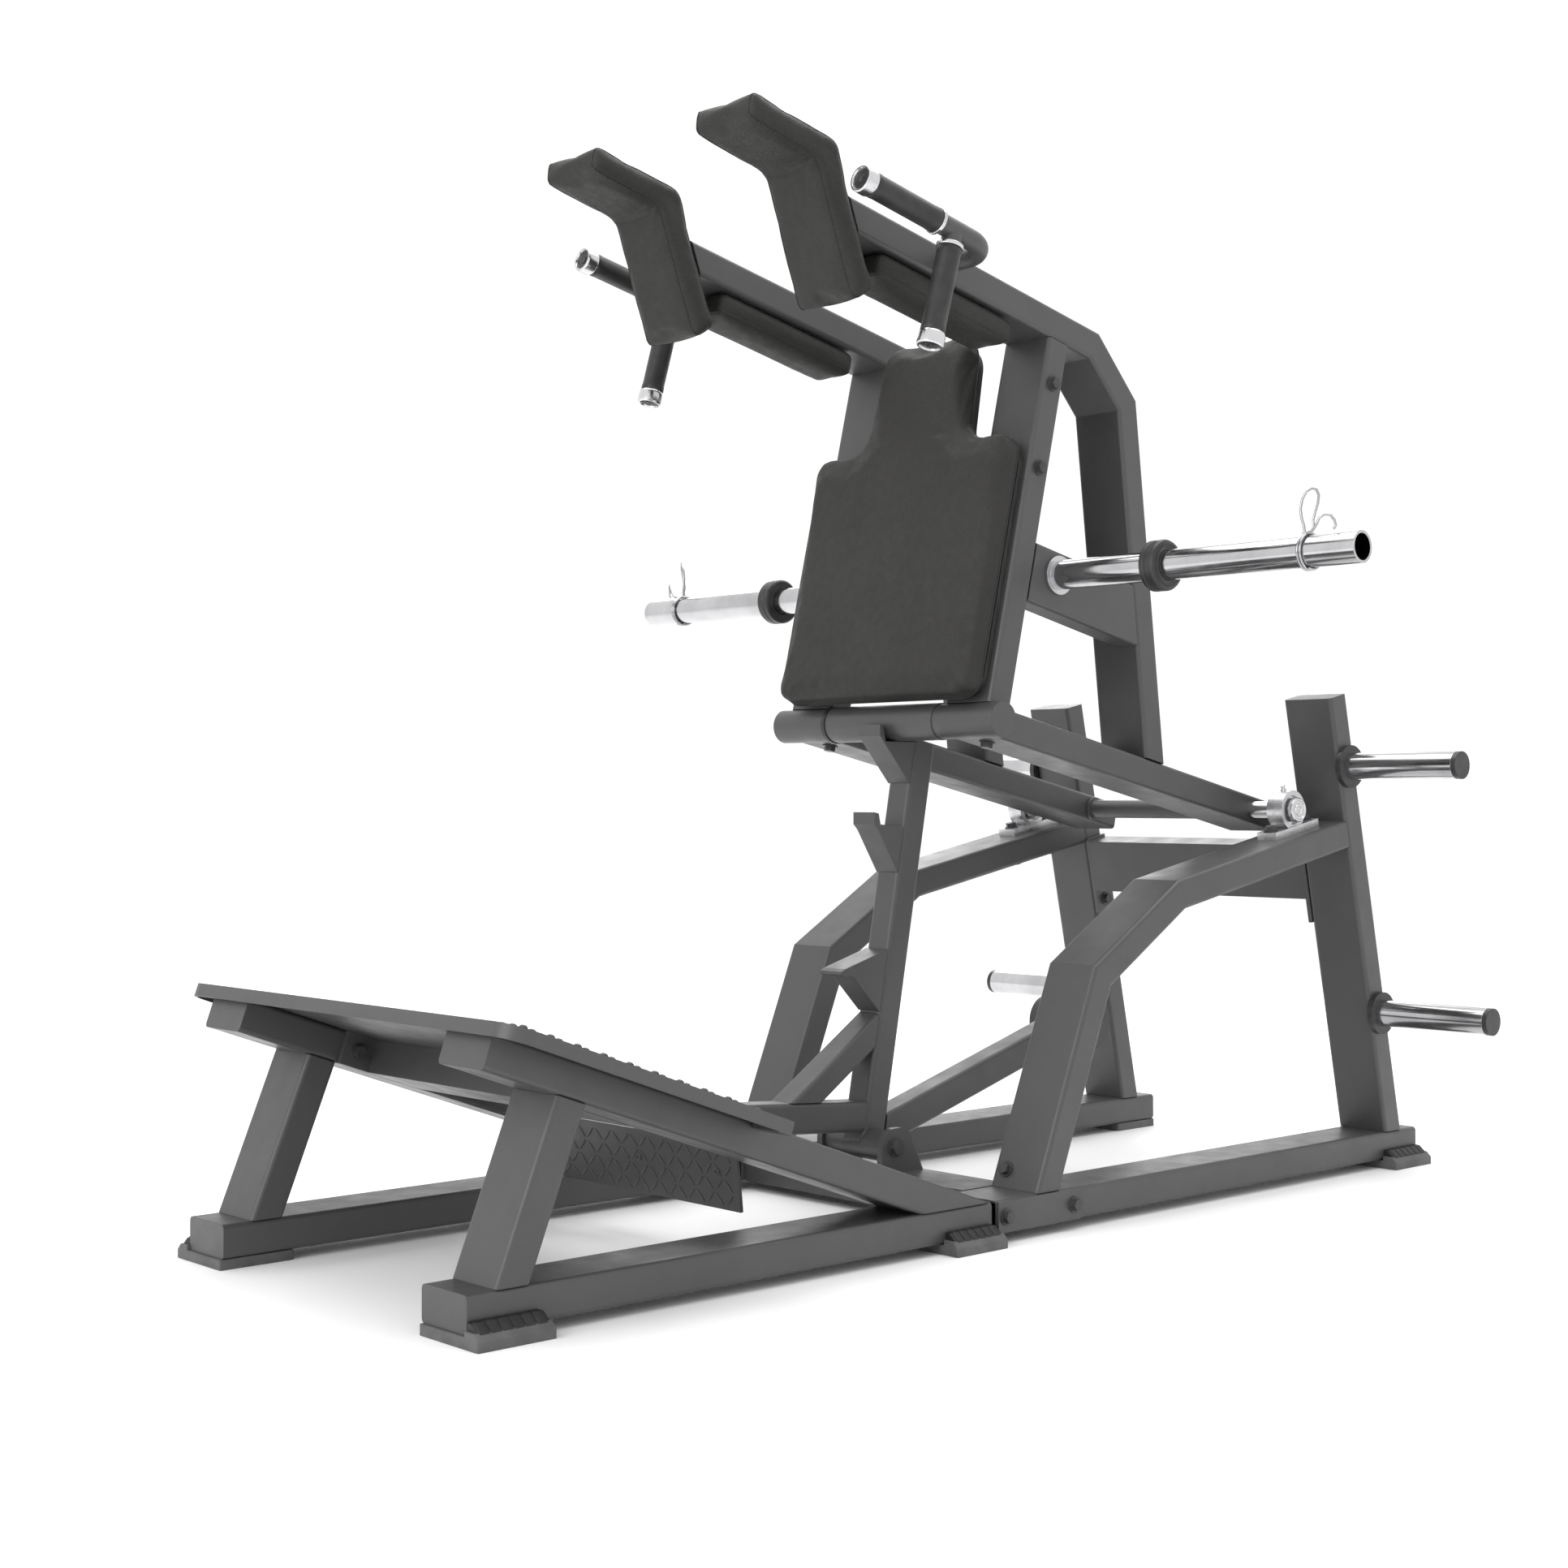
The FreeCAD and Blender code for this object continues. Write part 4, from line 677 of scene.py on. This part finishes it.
# Finger loops in millimetres: (lean from the horn's station, y, height).
TALL_LOOP = ((4.0, 724.0, 1064.5), (5.0, 729.0, 1074.0), (6.0, 727.5, 1085.0), (6.5, 731.0, 1097.0),
             (6.5, 735.5, 1109.0), (6.0, 737.5, 1121.0), (4.0, 735.0, 1129.0), (0.0, 730.0, 1131.5),
             (-4.0, 723.0, 1127.0), (-6.0, 717.0, 1116.0), (-6.5, 714.0, 1102.0), (-6.0, 715.5, 1088.0),
             (-5.0, 719.0, 1076.0), (-4.0, 720.0, 1064.5))
SHORT_LOOP = ((-11.0, 727.0, 1063.0), (-12.0, 739.0, 1067.0), (-12.0, 746.0, 1076.0), (-11.0, 750.0, 1085.0),
              (-8.0, 757.0, 1089.5), (-3.0, 764.0, 1088.0), (1.0, 768.0, 1081.0), (2.0, 769.5, 1073.0),
              (1.0, 766.0, 1068.0))


def spring_clips():
    """Sprung wire collars: a coil of 2.6 turns, a tall finger loop and a short one."""
    for side, sign in SIDES:
        axis = Vector((0, sign, 0))
        start = at(HORN[0], sign * CLIP_Y, HORN[1])
        gauge = 0.0021
        pitch = 0.0046
        turns, steps = 2.6, 40
        coil_radius = 0.0243 + gauge + 0.0004
        points = []
        first_angle = math.radians(105.0)
        for k in range(int(turns * steps) + 1):
            angle = first_angle - 2 * math.pi * k / steps
            level = gauge + pitch * k / steps
            points.append(start + axis * level + Vector((math.cos(angle), 0, math.sin(angle))) * coil_radius)
        runs = [(points, False)]
        for shape in (TALL_LOOP, SHORT_LOOP):
            runs.append(([at(HORN[0] + lean, sign * y, z) for lean, y, z in shape], False))
        clip = wire("spring_collar_" + side, runs, gauge, "clip_steel")
        place(clip, "clip_" + side, "spring_clip_" + side)


def grip_fittings():
    """Rubber grips with rolled ends, and turned caps with a recessed end disc."""
    start = at(HANDLE_START[0], 0, HANDLE_START[1])
    root = start + BEAM_RUN * 0.196
    hang = direction((884.0, 1501.0), (842.0, 1352.0))
    drop = 0.186
    handle_y = 0.333
    grips, caps, plugs = [], [], []
    for _, sign in SIDES:
        offset = Y_AXIS * sign * handle_y
        for end, axis in ((start + offset, BEAM_RUN), (root + hang * drop + offset, -hang)):
            grips.append(lathe([(0.018, 0.0161), (0.018, 0.0182), (0.0195, 0.0191), (0.028, 0.0191),
                                (0.030, 0.0186), (0.145, 0.0186), (0.147, 0.0191), (0.1545, 0.0191),
                                (0.156, 0.0182), (0.156, 0.0161)], end, axis, 56))
            caps.append(lathe([(-0.0010, 0.0150), (-0.004, 0.0168), (-0.004, 0.0190), (-0.002, 0.0208),
                               (0.014, 0.0210), (0.0165, 0.0204), (0.018, 0.0192), (0.018, 0.0161),
                               (0.001, 0.0150)], end, axis, 56))
            caps.append(lathe([(0.156, 0.0161), (0.156, 0.0202), (0.157, 0.0210), (0.161, 0.0210),
                               (0.162, 0.0202), (0.162, 0.0161)], end, axis, 56))
            plugs.append(lathe([(-0.0008, 0.0003), (-0.0022, 0.0042), (-0.0022, 0.0062), (-0.0004, 0.0066),
                                (-0.0004, 0.0156), (0.004, 0.0156), (0.004, 0.0003)], end, axis, 40))
    for name, builders, slot_name, replaced in (
            ("handle_grip_sleeves", grips, "grip_rubber", ["handle_grips"]),
            ("handle_caps", caps, "cap_aluminium", ["grip_caps_and_rings"]),
            ("handle_cap_plugs", plugs, "collar_black", [])):
        made = new_object(name, mesh_from(name, joined(builders)), slot_name)
        shade_smooth(made.data)
        place(made, "lever", *replaced)


def bearing_details():
    """End covers and grease nipples of the two bearings."""
    pivot = at(PIVOT[0], 0, PIVOT[1])
    rail_y, face_y, crown_radius = 0.306, 0.330, 0.0348
    covers, nipples = [], []
    arch_up = left_of(direction((1412.0, 514.0), (1885.5, 607.7)))
    for _, sign in SIDES:
        axis = Vector((0, sign, 0))
        face = pivot + axis * face_y
        covers.append(lathe([(0.0023, 0.0005), (0.0023, 0.0154), (-0.0034, 0.0154), (-0.0034, 0.0216),
                             (0.0035, 0.0216), (0.005, 0.0200), (0.005, 0.0168),
                             (0.0036, 0.0160), (0.0036, 0.0112), (0.0052, 0.0104), (0.0052, 0.0062),
                             (0.0036, 0.0054), (0.0036, 0.0005)], face, axis, 56))
        crown = pivot + axis * rail_y + arch_up * crown_radius
        nipples.append(lathe([(-0.002, 0.0003), (-0.002, 0.0048), (0.003, 0.0048), (0.0036, 0.0030),
                              (0.0066, 0.0030), (0.0072, 0.0038), (0.0086, 0.0036), (0.0100, 0.0020),
                              (0.0100, 0.0003)], crown, arch_up, 20))
    cover = new_object("bearing_covers", mesh_from("bearing_covers", joined(covers)), "bearing_steel")
    shade_smooth(cover.data, 30)
    place(cover, "lever")
    nipple = new_object("grease_nipples", mesh_from("grease_nipples", joined(nipples)), "bearing_steel")
    shade_smooth(nipple.data, 30)
    place(nipple, "base")


def sleeve_ring():
    """Black ring at one end of the sleeve on the cross tube."""
    middle = at(CROSS_TUBE[0], 0, CROSS_TUBE[1])
    profile = [(0.1255, 0.0295), (0.1255, 0.0322), (0.1335, 0.0322), (0.1335, 0.0295)]
    mesh = mesh_from("sleeve_ring", lathe(profile, middle, Y_AXIS, 72))
    made = new_object("sleeve_ring", mesh, "collar_black")
    shade_smooth(made.data, 30)
    place(made, "lever")


horn_collars()
spring_clips()
sleeve_ring()
grip_fittings()
bearing_details()


# ---------------------------------------------------------------- finish of the CAD nodes

def paint_frame_nodes():
    """Every CAD node gets its slot's finish."""
    slots = {row["node"]: row["material_slot"] for row in frame["record"]["subparts"]}
    for name, obj in nodes.items():
        look = LOOKS[slots[name]]
        obj.data.materials.clear()
        obj.data.materials.append(look)


paint_frame_nodes()


# ---------------------------------------------------------------- floor, light and camera

def studio_floor():
    def build(work):
        reach = 40.0
        ends = ((-reach, -reach), (reach, -reach), (reach, reach), (-reach, reach))
        work.faces.new([work.verts.new((x, y, 0.0)) for x, y in ends])
    mesh = mesh_from("studio_floor", build)
    floor = bpy.data.objects.new("studio_floor", mesh)
    scene.collection.objects.link(floor)
    made = Surface("floor_pale")
    colour = made.between(made.noise(1.5, 3.0), (0.93, 0.93, 0.93), (0.95, 0.95, 0.95))
    roughness = made.between(made.noise(12.0, 4.0), 0.62, 0.75)
    made.relief([(made.noise(300.0, 2.0), 0.03, 0.0005)])
    mesh.materials.append(made.finish(colour, roughness))


def area_light(name, location, target, size, power):
    lamp = bpy.data.lights.new(name, "AREA")
    lamp.shape = "RECTANGLE"
    lamp.size, lamp.size_y = size
    lamp.energy = power
    made = bpy.data.objects.new(name, lamp)
    scene.collection.objects.link(made)
    made.location = location
    made.rotation_euler = (Vector(target) - Vector(location)).to_track_quat("-Z", "Y").to_euler()


def studio_light():
    world = bpy.data.worlds.new("studio")
    scene.world = world
    world.use_nodes = True
    background = world.node_tree.nodes["Background"]
    background.inputs["Color"].default_value = (1.0, 1.0, 1.0, 1)
    background.inputs["Strength"].default_value = 1.08
    scene.view_settings.view_transform = "Standard"
    area_light("overhead", (0.4, 0.3, 4.2), (0.1, 0, 0.5), (4.5, 3.5), 120)
    area_light("front", (-4.2, -0.6, 2.2), (0, 0, 0.8), (2.6, 2.6), 70)
    area_light("back_rim", (3.4, 3.2, 2.6), (0.2, 0, 0.8), (2.5, 2.0), 40)


def studio_camera():
    lens = bpy.data.cameras.new("camera")
    lens.sensor_width = 36.0
    lens.lens = 51.68
    lens.shift_y = -0.0132
    lens.clip_end = 100.0
    camera = bpy.data.objects.new("camera", lens)
    scene.collection.objects.link(camera)
    yaw, pitch = 0.8349, 0.0144
    camera.location = (-2.6177, -2.6655, 0.6772)
    gaze = Vector((math.cos(pitch) * math.cos(yaw), math.cos(pitch) * math.sin(yaw), math.sin(pitch)))
    camera.rotation_euler = gaze.to_track_quat("-Z", "Y").to_euler()
    scene.camera = camera


studio_floor()
studio_light()
studio_camera()
